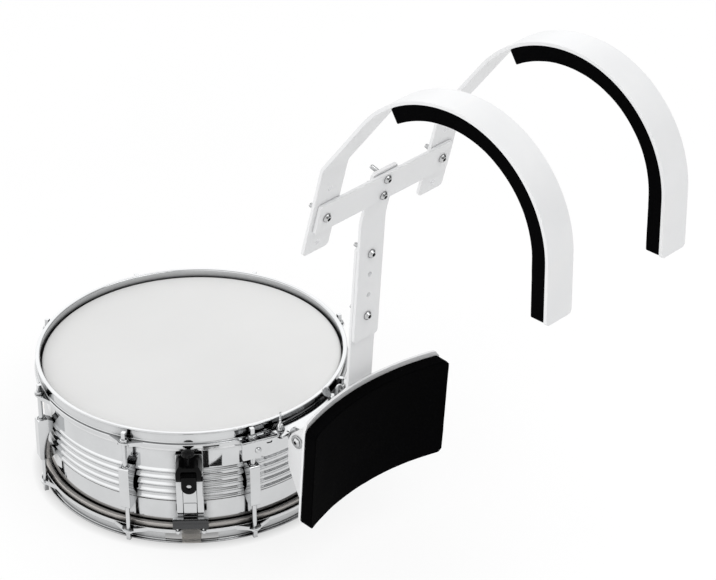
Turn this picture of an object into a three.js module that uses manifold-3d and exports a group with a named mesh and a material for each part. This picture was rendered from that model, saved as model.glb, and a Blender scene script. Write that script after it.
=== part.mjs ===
// Marching snare drum on its shoulder carrier, in millimetres, +Z up.
// The drum stands on the lip of its lower hoop. The player stands on the -Y side.
import * as THREE from 'three';
import { mergeVertices } from 'three/addons/utils/BufferGeometryUtils.js';
import Module from 'manifold-3d';

const wasm = await Module();
wasm.setup();

// Shared fits
const clearance = 0.3;
const overrun = 3;

// Drum, measured round its axis
const ring = { sides: 32, lugs: 8, firstLug: 22.5, strainerAt: 225, buttAt: 45, ventAt: 135, playerAt: 270 };
const drum = { height: 153.7, radius: 177.8, wall: 1.2, headDepth: 8.6 };
const bead = { count: 5, pitch: 9.7, width: 7.2, crest: 3.2, rise: 1.9 };
const edge = { turnedIn: 6, drop: 5 };
const head = { film: 0.6, collar: 14.5, shoulder: 1.2 };
const fleshHoop = { width: 5.4, height: 8.8 };
const hoop = {
  gap: 2.2, wall: 2.3, lip: 4.7, lipThickness: 1.8, depth: 14.3,
  flange: 6.4, flangeThickness: 2.3, skirt: 3.4, skirtWall: 2,
};
const ear = { reach: 8.8, rootWidth: 26, tipWidth: 12.6, tipChamfer: 3.5 };
const gate = { width: 62, low: 2.6, high: 13.3 };
const rod = {
  circle: 191.7, radius: 2.75, collarRadius: 5.5, collar: 2, headRadius: 3.6, head: 10, end: 88, sides: 6,
};
const lug = {
  width: 12.5, low: 49.3, face: 198, inner: 184.5, chamfer: 2, footHeight: 8, archReach: 186.5, bore: 18,
};
const nut = { wall: 1.4, length: 16 };
const screw = { radius: 2, headRadius: 4.5, head: 2.4, grip: 4.2, sides: 6 };
const vent = { bore: 3.5, wall: 1.5, flangeRadius: 7.5, flange: 1, tail: 1.6, sides: 10 };

// Strainer and butt, measured outwards from the drum's axis, along the tangent and up
const base = {
  plate: 2.4, half: 15.8, low: 36, high: 122, wall: 1.9, lip: 1.6, slotHalf: 8.3, face: 190, railLow: 38,
  railHigh: 90,
};
const housing = {
  face: 204, topFace: 202, lowFace: 201, low: 97, high: 124, chinHigh: 101, browLow: 117, topHalf: 10.8,
  shoulderHalf: 15.1, shoulderHigh: 114, shoulderLow: 106, lowHalf: 14, slotHalf: 9.3, slotHigh: 114.4,
  slotBack: 185.5,
};
const lever = {
  pinReach: 194, pinHeight: 102, pin: 1.6, pinEnd: 17.4, hub: 4.8, back: 199.6, face: 203.8, top: 104.2, half: 9,
  low: 81.6, neckHigh: 106, neckLow: 97.6, eye: 3, eyeHeight: 92.6,
};
const knob = {
  reach: 197.5, radius: 7.7, height: 13, cap: 2.4, dome: 2.2, neck: 2.6, neckHeight: 2.6, thread: 2, depth: 7,
  sides: 12,
};
const slide = {
  back: 184.6, tongue: 1.6, half: 7.9, heelHalf: 13.4, low: 31, high: 86, jawHalf: 20.7, jawHigh: 41,
  jawFace: 195.3,
};
const strap = { half: 11, thickness: 0.5, bend: 4, level: 5.9 };
const clamp = { thickness: 4.7, chamfer: 1.2 };
const clampScrew = { spacing: 30, headRadius: 2.9, head: 5.4, neck: 2.6, radius: 1.8, sides: 8 };
const butt = {
  plate: 4.5, half: 17, low: 27, high: 62, blockLow: 31, blockHigh: 43, blockBack: 190, clamp: 4,
  screwSpread: 18, clampScrewSpread: 28.6,
};
const wires = { count: 20, pitch: 2, radius: 0.75, half: 165, sides: 4, height: 7.6 };
const endPlate = { length: 12, half: 22, thickness: 1.2 };

// Brackets between the drum and the carrier
const bracket = {
  thickness: 2.5, face: 201, inner: 188, startsAt: -16, plateEnd: 27, tip: 34, low: 118, slopeFrom: 6,
  slopeTo: 133, screwHole: 3.2, slotAlong: 17.5, slotLength: 7, slotHeight: 3.6, boltAlong: 3.5, boltHeight: 128.5,
};
const plateBolt = { radius: 4, head: 2.4, nut: 2.2, sides: 8 };
const wingScrew = {
  radius: 2.6, end: 133, hub: 5, hubTop: 3.4, hubHeight: 5, reach: 13, rise: 19, lobe: 5, thickness: 2.5,
  nutRadius: 5, nut: 4.5,
};
const yoke = {
  thickness: 2.5, half: 52, front: 184, back: 205, tabBack: 213, earFront: 200, earStep: 206.4, earBack: 236,
  earLow: 128, earHigh: 158, earRound: 8,
};

// Carrier, measured from the tilt bolts, up and down along its lean
const tilt = {
  y: -222, z: 142, lean: 4.7, bolt: 3, washer: 8.5, washerThickness: 1.2, headRadius: 5.4, head: 2.6,
};
const tiltNut = { radius: 6, thickness: 4.4 };
const wing = {
  face: 45, thickness: 3, frontTopY: 15.1, frontTopZ: 0.8, frontLowY: 13.2, frontLowZ: -39.9, chinFrontY: -5.8,
  chinFrontZ: -75.4, chinBackY: -8.5, chinBackZ: -78.6, rearLowZ: -41, rearTopZ: 71.4,
};
const belly = {
  radius: 341, plate: 3, half: 109.5, low: -45.8, high: 92.7, setBack: 49.3, corner: 8, steps: 14,
};
const bellyPad = { thickness: 15.6, half: 109, low: -43.8, high: 87.2, crown: 1.2, drawIn: 0.4, corner: 5 };
const bar = { width: 38.4, thickness: 4, corner: 4, hole: 3.2 };
const lowerBar = { low: -18, high: 276, firstBolt: 2, boltPitch: 56 };
const upperBar = { low: 152, bend: 308.4, bendAngle: 10.8, top: 68.5 };
const heightHoles = { first: 182.8, pitch: 27.4, count: 4 };
const crossbar = { length: 207, height: 38.8, centre: 50.2, boltSpacing: 23.2 };
const shoulder = {
  offset: 90, tail: 50.6, riser: 69.1, kink: 22.8, slope: 94.5, frontRadius: 150, rearRadius: 125, drop: 66,
  holePitch: 37.5, arcStep: 7.5,
};
const shoulderPad = { thickness: 17.5, startAngle: 19, endShort: 3, edge: 1.2 };
const bolt = { radius: 2.9, headRadius: 5.4, head: 3.8, nut: 4.6, tip: 15, sides: 8 };
const sunkHead = { radius: 5.4, depth: 1.8 };
const curveSteps = 6;
const rightAngle = 90;
const wingTurns = { left: 44, right: -28 };

const degrees = Math.PI / 180;
const finishes = {
  chrome: { color: 0xd6d9dc, roughness: 0.12, metalness: 1 },
  steel: { color: 0xb4b7ba, roughness: 0.35, metalness: 0.9 },
  brass: { color: 0xb5924c, roughness: 0.3, metalness: 0.9 },
  film: { color: 0xe6e6e4, roughness: 0.55, metalness: 0 },
  black: { color: 0x0d0d0e, roughness: 0.35, metalness: 0 },
  clear: { color: 0xdadad6, roughness: 0.3, metalness: 0 },
  white: { color: 0xe4e5e6, roughness: 0.4, metalness: 0.1 },
  foam: { color: 0x0a0a0b, roughness: 0.9, metalness: 0 },
};

// Closed, outward-facing geometry with shared vertices merged
function tidy(geometry) {
  const bare = new THREE.BufferGeometry();
  bare.setAttribute('position', geometry.getAttribute('position').clone());
  if (geometry.index) bare.setIndex(geometry.index.clone());
  const merged = mergeVertices(bare);
  const index = merged.index.array;
  const place = merged.getAttribute('position').array;
  const kept = [];
  let volume = 0;
  for (let i = 0; i < index.length; i += 3) {
    const [a, b, c] = [index[i], index[i + 1], index[i + 2]];
    if (a === b || b === c || c === a) continue;
    kept.push(a, b, c);
    const p = new THREE.Vector3().fromArray(place, a * 3);
    const q = new THREE.Vector3().fromArray(place, b * 3);
    const r = new THREE.Vector3().fromArray(place, c * 3);
    volume += p.dot(q.cross(r));
  }
  if (volume < 0) kept.reverse();
  merged.setIndex(kept);
  return merged;
}

function toSolid(geometry) {
  const closed = tidy(geometry);
  return new wasm.Manifold(new wasm.Mesh({
    numProp: 3,
    vertProperties: new Float32Array(closed.getAttribute('position').array),
    triVerts: new Uint32Array(closed.index.array),
  }));
}

function toGeometry(solid) {
  const mesh = solid.getMesh();
  const geometry = new THREE.BufferGeometry();
  geometry.setAttribute('position', new THREE.BufferAttribute(new Float32Array(mesh.vertProperties), 3));
  geometry.setIndex(new THREE.BufferAttribute(new Uint32Array(mesh.triVerts), 1));
  return geometry;
}

function join(...geometries) {
  return toGeometry(geometries.map(toSolid).reduce((sum, solid) => sum.add(solid)));
}

function cut(geometry, ...tools) {
  return toGeometry(tools.map(toSolid).reduce((rest, tool) => rest.subtract(tool), toSolid(geometry)));
}

function common(first, second) {
  return toGeometry(toSolid(first).intersect(toSolid(second)));
}

// Profile of radius and height pairs, turned round Z with a flat facing -Y
function turned(profile, sides = ring.sides) {
  const points = profile.map(([radius, height]) => new THREE.Vector2(radius, height));
  const geometry = new THREE.LatheGeometry(points, sides, Math.PI / sides, 2 * Math.PI);
  return tidy(geometry.rotateX(Math.PI / 2));
}

function turnedRing(profile, sides = ring.sides) {
  return turned([...profile, profile[0]], sides);
}

function outline(points) {
  return new THREE.Shape(points.map(([x, y]) => new THREE.Vector2(x, y)));
}

function rectangle(x0, x1, y0, y1) {
  return outline([[x0, y0], [x1, y0], [x1, y1], [x0, y1]]);
}

function extruded(shape, from, to) {
  const options = { depth: to - from, bevelEnabled: false, curveSegments: curveSteps };
  const geometry = new THREE.ExtrudeGeometry(shape, options);
  return geometry.translate(0, 0, from);
}

function alongZ(shape, from, to) {
  return tidy(extruded(shape, from, to));
}

// The shape's x lies along Y and its y along Z
function alongX(shape, from, to) {
  const turn = new THREE.Matrix4().makeBasis(
    new THREE.Vector3(0, 1, 0), new THREE.Vector3(0, 0, 1), new THREE.Vector3(1, 0, 0));
  return tidy(extruded(shape, from, to).applyMatrix4(turn));
}

// The shape's x lies along X and its y along Z
function alongY(shape, from, to) {
  return tidy(extruded(shape, -to, -from).rotateX(Math.PI / 2));
}

function block(x0, x1, y0, y1, z0, z1) {
  return alongZ(rectangle(x0, x1, y0, y1), z0, z1);
}

function pin(radius, from, to, sides = screw.sides) {
  return turned([[0, from], [radius, from], [radius, to], [0, to]], sides);
}

function lyingX(geometry) {
  return geometry.rotateY(Math.PI / 2);
}

function lyingY(geometry) {
  return geometry.rotateX(-Math.PI / 2);
}

function mirroredHeight(profile) {
  return profile.map(([radius, height]) => [radius, drum.height - height]);
}

// Points of a path of straights and bends in a plane, from a start and a heading in degrees
function bentPath(start, heading, pieces) {
  const points = [new THREE.Vector2(...start)];
  let angle = heading * degrees;
  for (const piece of pieces) {
    const last = points[points.length - 1];
    if (piece.length) {
      const step = new THREE.Vector2(Math.cos(angle), Math.sin(angle)).multiplyScalar(piece.length);
      points.push(last.clone().add(step));
    } else if (piece.radius) {
      const turn = piece.turn * degrees;
      const side = Math.sign(turn);
      const across = new THREE.Vector2(-Math.sin(angle), Math.cos(angle));
      const centre = last.clone().add(across.multiplyScalar(side * piece.radius));
      const steps = Math.ceil(Math.abs(piece.turn) / shoulder.arcStep);
      const arm = last.clone().sub(centre);
      for (let i = 1; i <= steps; i += 1) {
        points.push(arm.clone().rotateAround(new THREE.Vector2(), turn * i / steps).add(centre));
      }
      angle += turn;
    } else {
      angle += piece.kink * degrees;
    }
  }
  return points;
}

// The path moved sideways to its left, with mitred corners
function beside(points, distance) {
  return points.map((point, i) => {
    const before = points[Math.max(i - 1, 0)];
    const after = points[Math.min(i + 1, points.length - 1)];
    const into = point.clone().sub(i > 0 ? before : after).multiplyScalar(i > 0 ? 1 : -1).normalize();
    const out = i < points.length - 1 ? after.clone().sub(point).normalize() : into;
    const normal = new THREE.Vector2(-into.y - out.y, into.x + out.x).normalize();
    const stretch = normal.dot(new THREE.Vector2(-into.y, into.x));
    return point.clone().add(normal.multiplyScalar(distance / stretch));
  });
}

function strip(points, near, far) {
  return new THREE.Shape([...beside(points, near), ...beside(points, far).reverse()]);
}

// Distances from the axis to the middle of a flat
const flatShare = Math.cos(Math.PI / ring.sides);
const middle = drum.height / 2;
const shellTop = drum.height - drum.headDepth - head.film - clearance;
const shellFlat = drum.radius * flatShare;
const crestFlat = (drum.radius + bead.rise) * flatShare;
const seat = crestFlat + clearance;
const hoopInner = drum.radius + hoop.gap;
const hoopWall = hoopInner + hoop.wall;
const hoopFlange = hoopWall + hoop.flange;
const flangeTop = drum.height - hoop.depth;
const flangeLow = flangeTop - hoop.flangeThickness;
const outerBead = (bead.count - 1) / 2 * bead.pitch;
const lugAngles = Array.from({ length: ring.lugs }, (_, i) => ring.firstLug + i * 360 / ring.lugs);

function beadHeights() {
  return Array.from({ length: bead.count }, (_, i) => middle + (i - (bead.count - 1) / 2) * bead.pitch);
}

function shellProfile() {
  const inner = drum.radius - drum.wall;
  const low = drum.height - shellTop;
  const beads = beadHeights().flatMap((z) => [
    [drum.radius, z - bead.width / 2], [drum.radius + bead.rise, z - bead.crest / 2],
    [drum.radius + bead.rise, z + bead.crest / 2], [drum.radius, z + bead.width / 2]]);
  return [
    [inner - edge.turnedIn, low + edge.drop], [inner, low], [drum.radius, low + drum.wall], ...beads,
    [drum.radius, shellTop - drum.wall], [inner, shellTop], [inner - edge.turnedIn, shellTop - edge.drop],
    [inner, shellTop - 2 * drum.wall], [inner, low + 2 * drum.wall],
  ];
}

function radialHole(radius, angle, along, height, sides = screw.sides) {
  const tool = lyingX(pin(radius, shellFlat - overrun, seat + overrun, sides));
  return tool.translate(0, along, height).rotateZ(angle * degrees);
}

function shellShape() {
  const holes = lugAngles.flatMap((angle) => [-1, 1].map(
    (side) => radialHole(screw.radius + clearance, angle, 0, middle + side * outerBead)));
  holes.push(radialHole(vent.bore + vent.wall + clearance, ring.ventAt, 0, middle, vent.sides));
  for (const side of [-1, 1]) {
    holes.push(radialHole(screw.radius + clearance, ring.strainerAt, 0, middle + side * outerBead));
    const along = side * butt.screwSpread / 2;
    holes.push(radialHole(screw.radius + clearance, ring.buttAt, along, middle - outerBead));
  }
  return cut(turnedRing(shellProfile()), ...holes);
}

function ventShape() {
  const inner = shellFlat - drum.wall - vent.tail;
  const outer = vent.bore + vent.wall;
  const tube = turnedRing([
    [vent.bore, inner], [outer, inner], [outer, seat], [vent.flangeRadius, seat],
    [vent.flangeRadius, seat + vent.flange], [vent.bore, seat + vent.flange]], vent.sides);
  return lyingX(tube).translate(0, 0, middle);
}

function headProfile() {
  const top = drum.height - drum.headDepth;
  const inner = drum.radius + clearance;
  return [
    [0, top - head.film], [inner, top - head.film], [inner, top - head.collar],
    [inner + head.film, top - head.collar], [inner + head.film, top - head.shoulder],
    [inner + head.film - head.shoulder, top], [0, top],
  ];
}

function fleshHoopProfile() {
  const inner = drum.radius + clearance + head.film + clearance;
  const top = flangeLow - clearance;
  return [
    [inner, top - fleshHoop.height], [inner + fleshHoop.width, top - fleshHoop.height],
    [inner + fleshHoop.width, top], [inner, top],
  ];
}

function hoopProfile() {
  return [
    [hoopInner, flangeLow], [hoopFlange - hoop.skirtWall, flangeLow],
    [hoopFlange - hoop.skirtWall, flangeLow - hoop.skirt], [hoopFlange, flangeLow - hoop.skirt],
    [hoopFlange, flangeTop], [hoopWall, flangeTop], [hoopWall, drum.height - hoop.lipThickness],
    [hoopWall + hoop.lip, drum.height - hoop.lipThickness], [hoopWall + hoop.lip, drum.height],
    [hoopInner, drum.height],
  ];
}

// Pressed ear with the rod's hole, at angle zero
function earShape() {
  const root = hoopWall;
  const tip = hoopFlange + ear.reach;
  const plan = outline([
    [root, -ear.rootWidth / 2], [hoopFlange, -ear.rootWidth / 2], [tip - ear.tipChamfer, -ear.tipWidth / 2],
    [tip, -ear.tipWidth / 2 + ear.tipChamfer], [tip, ear.tipWidth / 2 - ear.tipChamfer],
    [tip - ear.tipChamfer, ear.tipWidth / 2], [hoopFlange, ear.rootWidth / 2], [root, ear.rootWidth / 2]]);
  return alongZ(plan, flangeLow, flangeTop);
}

function atRods(make) {
  return lugAngles.map((angle) => make().rotateZ(angle * degrees));
}

function rodHole() {
  const hole = pin(rod.radius + 2 * clearance, flangeLow - overrun, flangeTop + overrun, rod.sides);
  return hole.translate(rod.circle, 0, 0);
}

function hoopShape() {
  return cut(join(turnedRing(hoopProfile()), ...atRods(earShape)), ...atRods(rodHole));
}

function upsideDown(geometry) {
  return tidy(geometry.rotateX(Math.PI).translate(0, 0, drum.height));
}

function gateTool(angle) {
  const half = gate.width / 2;
  const tool = block(hoopInner - overrun, hoopWall + overrun, -half, half, gate.low, gate.high);
  return tool.rotateZ(angle * degrees);
}

function snareHoopShape() {
  return cut(upsideDown(hoopShape()), gateTool(ring.strainerAt), gateTool(ring.buttAt));
}

// Screw driven outwards from inside the shell into what it holds, along +X
function shellScrew(grip, along, height) {
  const under = (drum.radius - drum.wall) * flatShare - clearance;
  const profile = [
    [0, under - screw.head], [screw.headRadius, under - screw.head], [screw.headRadius, under],
    [screw.radius, under], [screw.radius, seat + grip], [0, seat + grip]];
  return lyingX(turned(profile, screw.sides)).translate(0, along, height);
}

// Lug casting, arched between its two feet, with its swivel nuts, its two screws and the lower rod
function lugShape() {
  const high = drum.height - lug.low;
  const feet = [middle - outerBead, middle + outerBead];
  const half = lug.footHeight / 2;
  const side = new THREE.Shape();
  side.moveTo(lug.inner, lug.low);
  side.lineTo(lug.face - lug.chamfer, lug.low);
  side.lineTo(lug.face, lug.low + lug.chamfer);
  side.lineTo(lug.face, high - lug.chamfer);
  side.lineTo(lug.face - lug.chamfer, high);
  side.lineTo(lug.inner, high);
  side.lineTo(seat, feet[1] + half);
  side.lineTo(seat, feet[1] - half);
  side.quadraticCurveTo(2 * lug.archReach - seat, middle, seat, feet[0] + half);
  side.lineTo(seat, feet[0] - half);
  const body = alongY(side, -lug.width / 2, lug.width / 2);
  const bore = (radius, from) => pin(radius, from, high + overrun).translate(rod.circle, 0, 0);
  const nutTop = high - lug.bore + nut.length;
  const bored = cut(body,
    bore(rod.radius + clearance + nut.wall, nutTop),
    bore(rod.radius + clearance, high - lug.bore),
    upsideDown(bore(rod.radius + clearance + nut.wall, nutTop)));
  const lowerRod = upsideDown(tensionRod(0)).translate(rod.circle, 0, 0);
  return join(bored, lowerRod, ...feet.map((z) => shellScrew(screw.grip, 0, z)));
}

function tensionRod(lift) {
  const seatAt = flangeTop + clearance + lift;
  return turned([
    [0, rod.end], [rod.radius, rod.end], [rod.radius, seatAt], [rod.collarRadius, seatAt],
    [rod.collarRadius, seatAt + rod.collar], [rod.headRadius, seatAt + rod.collar],
    [rod.headRadius, seatAt + rod.collar + rod.head], [0, seatAt + rod.collar + rod.head]], rod.sides);
}

// The two lugs nearest the player also hold the carrier's brackets
function bracketLift(angle) {
  return Math.abs(angle - ring.playerAt) < 360 / ring.lugs ? bracket.thickness + clearance : 0;
}

// Batter rod of the lug at an angle, with its collar on the hoop's ear or on a bracket
function batterRod(angle) {
  return tensionRod(bracketLift(angle)).translate(rod.circle, 0, 0);
}

// Strainer pieces, drawn at angle zero with X pointing out of the drum
const baseFace = seat + base.plate;
const strapFace = slide.jawFace + clearance + strap.thickness;

function mirroredOutline(points) {
  return outline([...points, ...points.map(([x, y]) => [x, -y]).reverse()]);
}

// Back plate with a channel whose lips hold the slide
function strainerBase() {
  const plate = block(seat, baseFace, -base.half, base.half, base.low, base.high);
  const channel = alongZ(mirroredOutline([
    [baseFace, base.half - base.wall], [base.face - base.lip, base.half - base.wall],
    [base.face - base.lip, base.slotHalf], [base.face, base.slotHalf], [base.face, base.half],
    [seat, base.half]]), base.railLow, base.railHigh);
  const screws = [-1, 1].map((side) => shellScrew(base.plate / 2, 0, middle + side * outerBead));
  return join(plate, channel, ...screws);
}

// Moulded housing: its front outline met with its side outline, then its slot and holes
function housingShape() {
  const back = baseFace + clearance;
  const front = outline([
    [-housing.topHalf, housing.high], [-housing.shoulderHalf, housing.shoulderHigh],
    [-housing.shoulderHalf, housing.shoulderLow], [-housing.lowHalf, housing.low],
    [housing.lowHalf, housing.low], [housing.shoulderHalf, housing.shoulderLow],
    [housing.shoulderHalf, housing.shoulderHigh], [housing.topHalf, housing.high]]);
  const side = outline([
    [back, housing.low], [housing.lowFace, housing.low], [housing.face, housing.chinHigh],
    [housing.face, housing.browLow], [housing.topFace, housing.high], [back, housing.high]]);
  const body = common(
    alongX(front, back - overrun, housing.face + overrun),
    alongY(side, -housing.shoulderHalf - overrun, housing.shoulderHalf + overrun));
  const slot = block(housing.slotBack, housing.face + overrun, -housing.slotHalf, housing.slotHalf,
    housing.low - overrun, housing.slotHigh);
  const pinHole = lyingY(pin(lever.pin + clearance, -lever.pinEnd, lever.pinEnd))
    .translate(lever.pinReach, 0, lever.pinHeight);
  const threadEnd = housing.high - knob.depth - clearance;
  const thread = pin(knob.thread + clearance, threadEnd, housing.high + overrun, bolt.sides)
    .translate(knob.reach, 0, 0);
  return cut(body, slot, pinHole, thread);
}

function leverPin() {
  return lyingY(pin(lever.pin, -lever.pinEnd, lever.pinEnd)).translate(lever.pinReach, 0, lever.pinHeight);
}

// Throw-off lever: a hub on the pin, a neck, and a round-ended tongue with an eye
function leverShape() {
  const front = new THREE.Shape();
  front.moveTo(-lever.half, lever.top);
  front.lineTo(-lever.half, lever.low + lever.half);
  front.absarc(0, lever.low + lever.half, lever.half, Math.PI, 2 * Math.PI, false);
  front.lineTo(lever.half, lever.top);
  const tongue = alongX(front, lever.back, lever.face);
  const hub = lyingY(pin(lever.hub, -lever.half, lever.half, bolt.sides))
    .translate(lever.pinReach, 0, lever.pinHeight);
  const neck = alongY(outline([
    [lever.pinReach, lever.neckLow], [lever.back + overrun, lever.neckLow], [lever.back + overrun, lever.top],
    [lever.pinReach, lever.neckHigh]]), -lever.half, lever.half);
  const bore = lyingY(pin(lever.pin + clearance, -lever.half - overrun, lever.half + overrun))
    .translate(lever.pinReach, 0, lever.pinHeight);
  const eye = lyingX(pin(lever.eye, lever.back - overrun, lever.face + overrun, bolt.sides))
    .translate(0, 0, lever.eyeHeight);
  return cut(join(tongue, hub, neck), bore, eye);
}

function knobShape() {
  const foot = housing.high + clearance;
  const top = foot + knob.height;
  return turned([
    [0, housing.high - knob.depth], [knob.thread, housing.high - knob.depth], [knob.thread, foot],
    [knob.neck, foot], [knob.neck, foot + knob.neckHeight], [knob.radius, top - knob.dome - knob.cap],
    [knob.radius, top - knob.dome], [knob.radius - knob.dome, top], [0, top]], knob.sides)
    .translate(knob.reach, 0, 0);
}

// Slide with its heel behind the channel's lips and its jaw across the foot
function slideShape() {
  const heelFace = base.face - base.lip - clearance;
  const tongue = alongZ(mirroredOutline([
    [slide.back, slide.heelHalf], [heelFace, slide.heelHalf], [heelFace, slide.half],
    [base.face + clearance - slide.tongue / 2, slide.half]].reverse()), slide.jawHigh - overrun, slide.high);
  const neck = block(slide.back, slide.jawFace, -slide.half, slide.half, slide.low, slide.jawHigh);
  const jaw = block(base.face + clearance, slide.jawFace, -slide.jawHalf, slide.jawHalf,
    slide.low, slide.jawHigh);
  return join(tongue, neck, jaw);
}

// Outer jaw with the two screws that hang from it
function clampShape() {
  const back = strapFace + clearance;
  const face = back + clamp.thickness;
  const plan = outline([
    [back, -slide.jawHalf], [face - clamp.chamfer, -slide.jawHalf], [face, -slide.jawHalf + clamp.chamfer],
    [face, slide.jawHalf - clamp.chamfer], [face - clamp.chamfer, slide.jawHalf], [back, slide.jawHalf]]);
  const headLow = slide.low - clampScrew.neck - clampScrew.head;
  const shape = turned([
    [0, headLow], [clampScrew.headRadius, headLow], [clampScrew.headRadius, slide.low - clampScrew.neck],
    [clampScrew.radius, slide.low], [clampScrew.radius, slide.low + overrun], [0, slide.low + overrun]],
  clampScrew.sides);
  const screws = [-1, 1].map((side) => shape.clone()
    .translate((back + face) / 2, side * clampScrew.spacing / 2, 0));
  return join(alongZ(plan, slide.low, slide.jawHigh), ...screws);
}

// Butt end, drawn at angle zero
function buttPlateShape() {
  const face = seat + butt.plate;
  const side = outline([
    [seat, butt.low], [face, butt.low], [butt.blockBack, butt.blockLow], [slide.jawFace, butt.blockLow],
    [slide.jawFace, butt.blockHigh], [butt.blockBack, butt.blockHigh], [face, butt.high], [seat, butt.high]]);
  const height = (slide.low + slide.jawHigh) / 2;
  const holes = [-1, 1].map((end) => lyingX(pin(clampScrew.radius + clearance, face, slide.jawFace + overrun))
    .translate(0, end * butt.clampScrewSpread / 2, height));
  const screws = [-1, 1].map(
    (end) => shellScrew(butt.plate / 2, end * butt.screwSpread / 2, middle - outerBead));
  return join(cut(alongY(side, -butt.half, butt.half), ...holes), ...screws);
}

// Outer jaw of the butt end with the two screws that press it on the strap
function buttClampShape() {
  const back = strapFace + clearance;
  const face = back + butt.clamp;
  const plate = block(back, face, -butt.half, butt.half, slide.low, slide.jawHigh);
  const end = seat + butt.plate + clearance;
  const shape = lyingX(turned([
    [0, end], [clampScrew.radius, end], [clampScrew.radius, face], [clampScrew.headRadius, face],
    [clampScrew.headRadius, face + clampScrew.neck], [0, face + clampScrew.neck]], clampScrew.sides));
  const height = (slide.low + slide.jawHigh) / 2;
  const screws = [-1, 1].map((side) => shape.clone().translate(0, side * butt.clampScrewSpread / 2, height));
  return join(plate, ...screws);
}

// Plastic strip from a snare end plate out through its gate and up into a clamp
function strapShape() {
  const inner = wires.half + clearance;
  const path = bentPath([inner, strap.level], 0, [
    { length: strapFace - inner - strap.bend }, { radius: strap.bend, turn: rightAngle },
    { length: slide.jawHigh - strap.level - strap.bend }]);
  return alongY(strip(path, 0, strap.thickness), -strap.half, strap.half);
}

// Strands soldered into a plate at each end
function wireShapes() {
  const plateFrom = wires.half - endPlate.length;
  const plate = block(plateFrom, wires.half, -endPlate.half, endPlate.half,
    wires.height - endPlate.thickness / 2, wires.height + endPlate.thickness / 2);
  const first = -(wires.count - 1) / 2 * wires.pitch;
  const reach = plateFrom + endPlate.thickness;
  const strand = lyingX(pin(wires.radius, -reach, reach, wires.sides));
  const strands = Array.from({ length: wires.count }, (_, i) => strand.clone()
    .translate(0, first + i * wires.pitch, wires.height));
  return join(plate, plate.clone().rotateZ(Math.PI), ...strands);
}

// Drum bracket under the collar of a lug's rod, with its weld nut, drawn at angle zero and reaching along Y
const bracketLow = flangeTop + clearance;
const bracketTop = bracketLow + bracket.thickness;
const bracketMiddle = (bracket.inner + bracket.face) / 2;

function drumBracket(side) {
  const plan = new THREE.Shape();
  plan.moveTo(bracket.inner, bracket.startsAt);
  plan.lineTo(bracket.face, bracket.startsAt);
  plan.absarc(bracketMiddle, bracket.tip, bracket.face - bracketMiddle, 0, Math.PI, false);
  const plate = outline([
    [bracket.startsAt, bracket.low], [bracket.slopeFrom, bracket.low], [bracket.plateEnd, bracket.slopeTo],
    [bracket.plateEnd, bracketTop], [bracket.startsAt, bracketTop]]);
  const wallBack = bracket.face - bracket.thickness;
  const nutShape = pin(wingScrew.nutRadius, bracketLow - wingScrew.nut, bracketTop)
    .translate(bracketMiddle, bracket.tip, 0);
  const body = join(
    alongZ(plan, bracketLow, bracketTop), alongX(plate, wallBack, bracket.face), nutShape, bracketBolt());
  const slotMiddle = (bracket.slopeTo + bracketLow) / 2;
  const [along, high] = [bracket.slotLength / 2, bracket.slotHeight / 2];
  const slot = block(wallBack - overrun, bracket.face + overrun,
    bracket.slotAlong - along, bracket.slotAlong + along, slotMiddle - high, slotMiddle + high);
  const finished = cut(body,
    pin(rod.radius + 2 * clearance, bracketLow - overrun, bracketTop + overrun).translate(rod.circle, 0, 0),
    pin(bracket.screwHole, bracketLow - wingScrew.nut - overrun, bracketTop + overrun, bolt.sides)
      .translate(bracketMiddle, bracket.tip, 0),
    slot);
  return tidy(finished.scale(1, side, 1));
}

function bracketBolt() {
  const inner = bracket.face - bracket.thickness;
  return lyingX(turned([
    [0, inner - plateBolt.nut], [plateBolt.radius, inner - plateBolt.nut],
    [plateBolt.radius, bracket.face + plateBolt.head], [0, bracket.face + plateBolt.head]], plateBolt.sides))
    .translate(0, bracket.boltAlong, bracket.boltHeight);
}

const bracketSides = [-1, 1].map((side) => ({ side, angle: ring.playerAt - side * 180 / ring.lugs }));

// The wing screws stand where the two brackets' round ends lie under the yoke
const nearLug = 180 / ring.lugs * degrees;
const screwX = bracketMiddle * Math.sin(nearLug) - bracket.tip * Math.cos(nearLug);
const screwY = -bracketMiddle * Math.cos(nearLug) - bracket.tip * Math.sin(nearLug);
const yokeLow = bracketTop + clearance;
const yokeTop = yokeLow + yoke.thickness;
const earFace = wing.face - wing.thickness - clearance;

// Cross piece that joins both drum brackets to the carrier's two tilt bolts
function yokeShape() {
  const plan = outline([
    [-yoke.half, -yoke.front], [-yoke.half, -yoke.back], [-earFace, -yoke.back], [-earFace, -yoke.tabBack],
    [earFace, -yoke.tabBack], [earFace, -yoke.back], [yoke.half, -yoke.back], [yoke.half, -yoke.front]]);
  const earSide = outline([
    [-yoke.earFront, yokeTop], [-yoke.earStep, yokeTop], [-yoke.earStep, yoke.earHigh - yoke.earRound],
    [-yoke.earStep - yoke.earRound, yoke.earHigh], [-yoke.earBack + yoke.earRound, yoke.earHigh],
    [-yoke.earBack, yoke.earHigh - yoke.earRound], [-yoke.earBack, yoke.earLow + yoke.earRound],
    [-yoke.earBack + yoke.earRound, yoke.earLow], [-yoke.earStep - yoke.earRound, yoke.earLow],
    [-yoke.earFront, yokeLow - yoke.thickness]]);
  const ears = [-1, 1].map((side) => alongX(earSide,
    ...[side * earFace, side * (earFace - yoke.thickness)].sort((a, b) => a - b)));
  const holes = [-1, 1].map((side) => pin(bracket.screwHole, yokeLow - overrun, yokeTop + overrun, bolt.sides)
    .translate(side * screwX, screwY, 0));
  const tiltHole = lyingX(pin(tilt.bolt + clearance, -wing.face, wing.face, bolt.sides))
    .translate(0, tilt.y, tilt.z);
  return cut(join(alongZ(plan, yokeLow, yokeTop), ...ears), ...holes, tiltHole);
}

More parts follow.
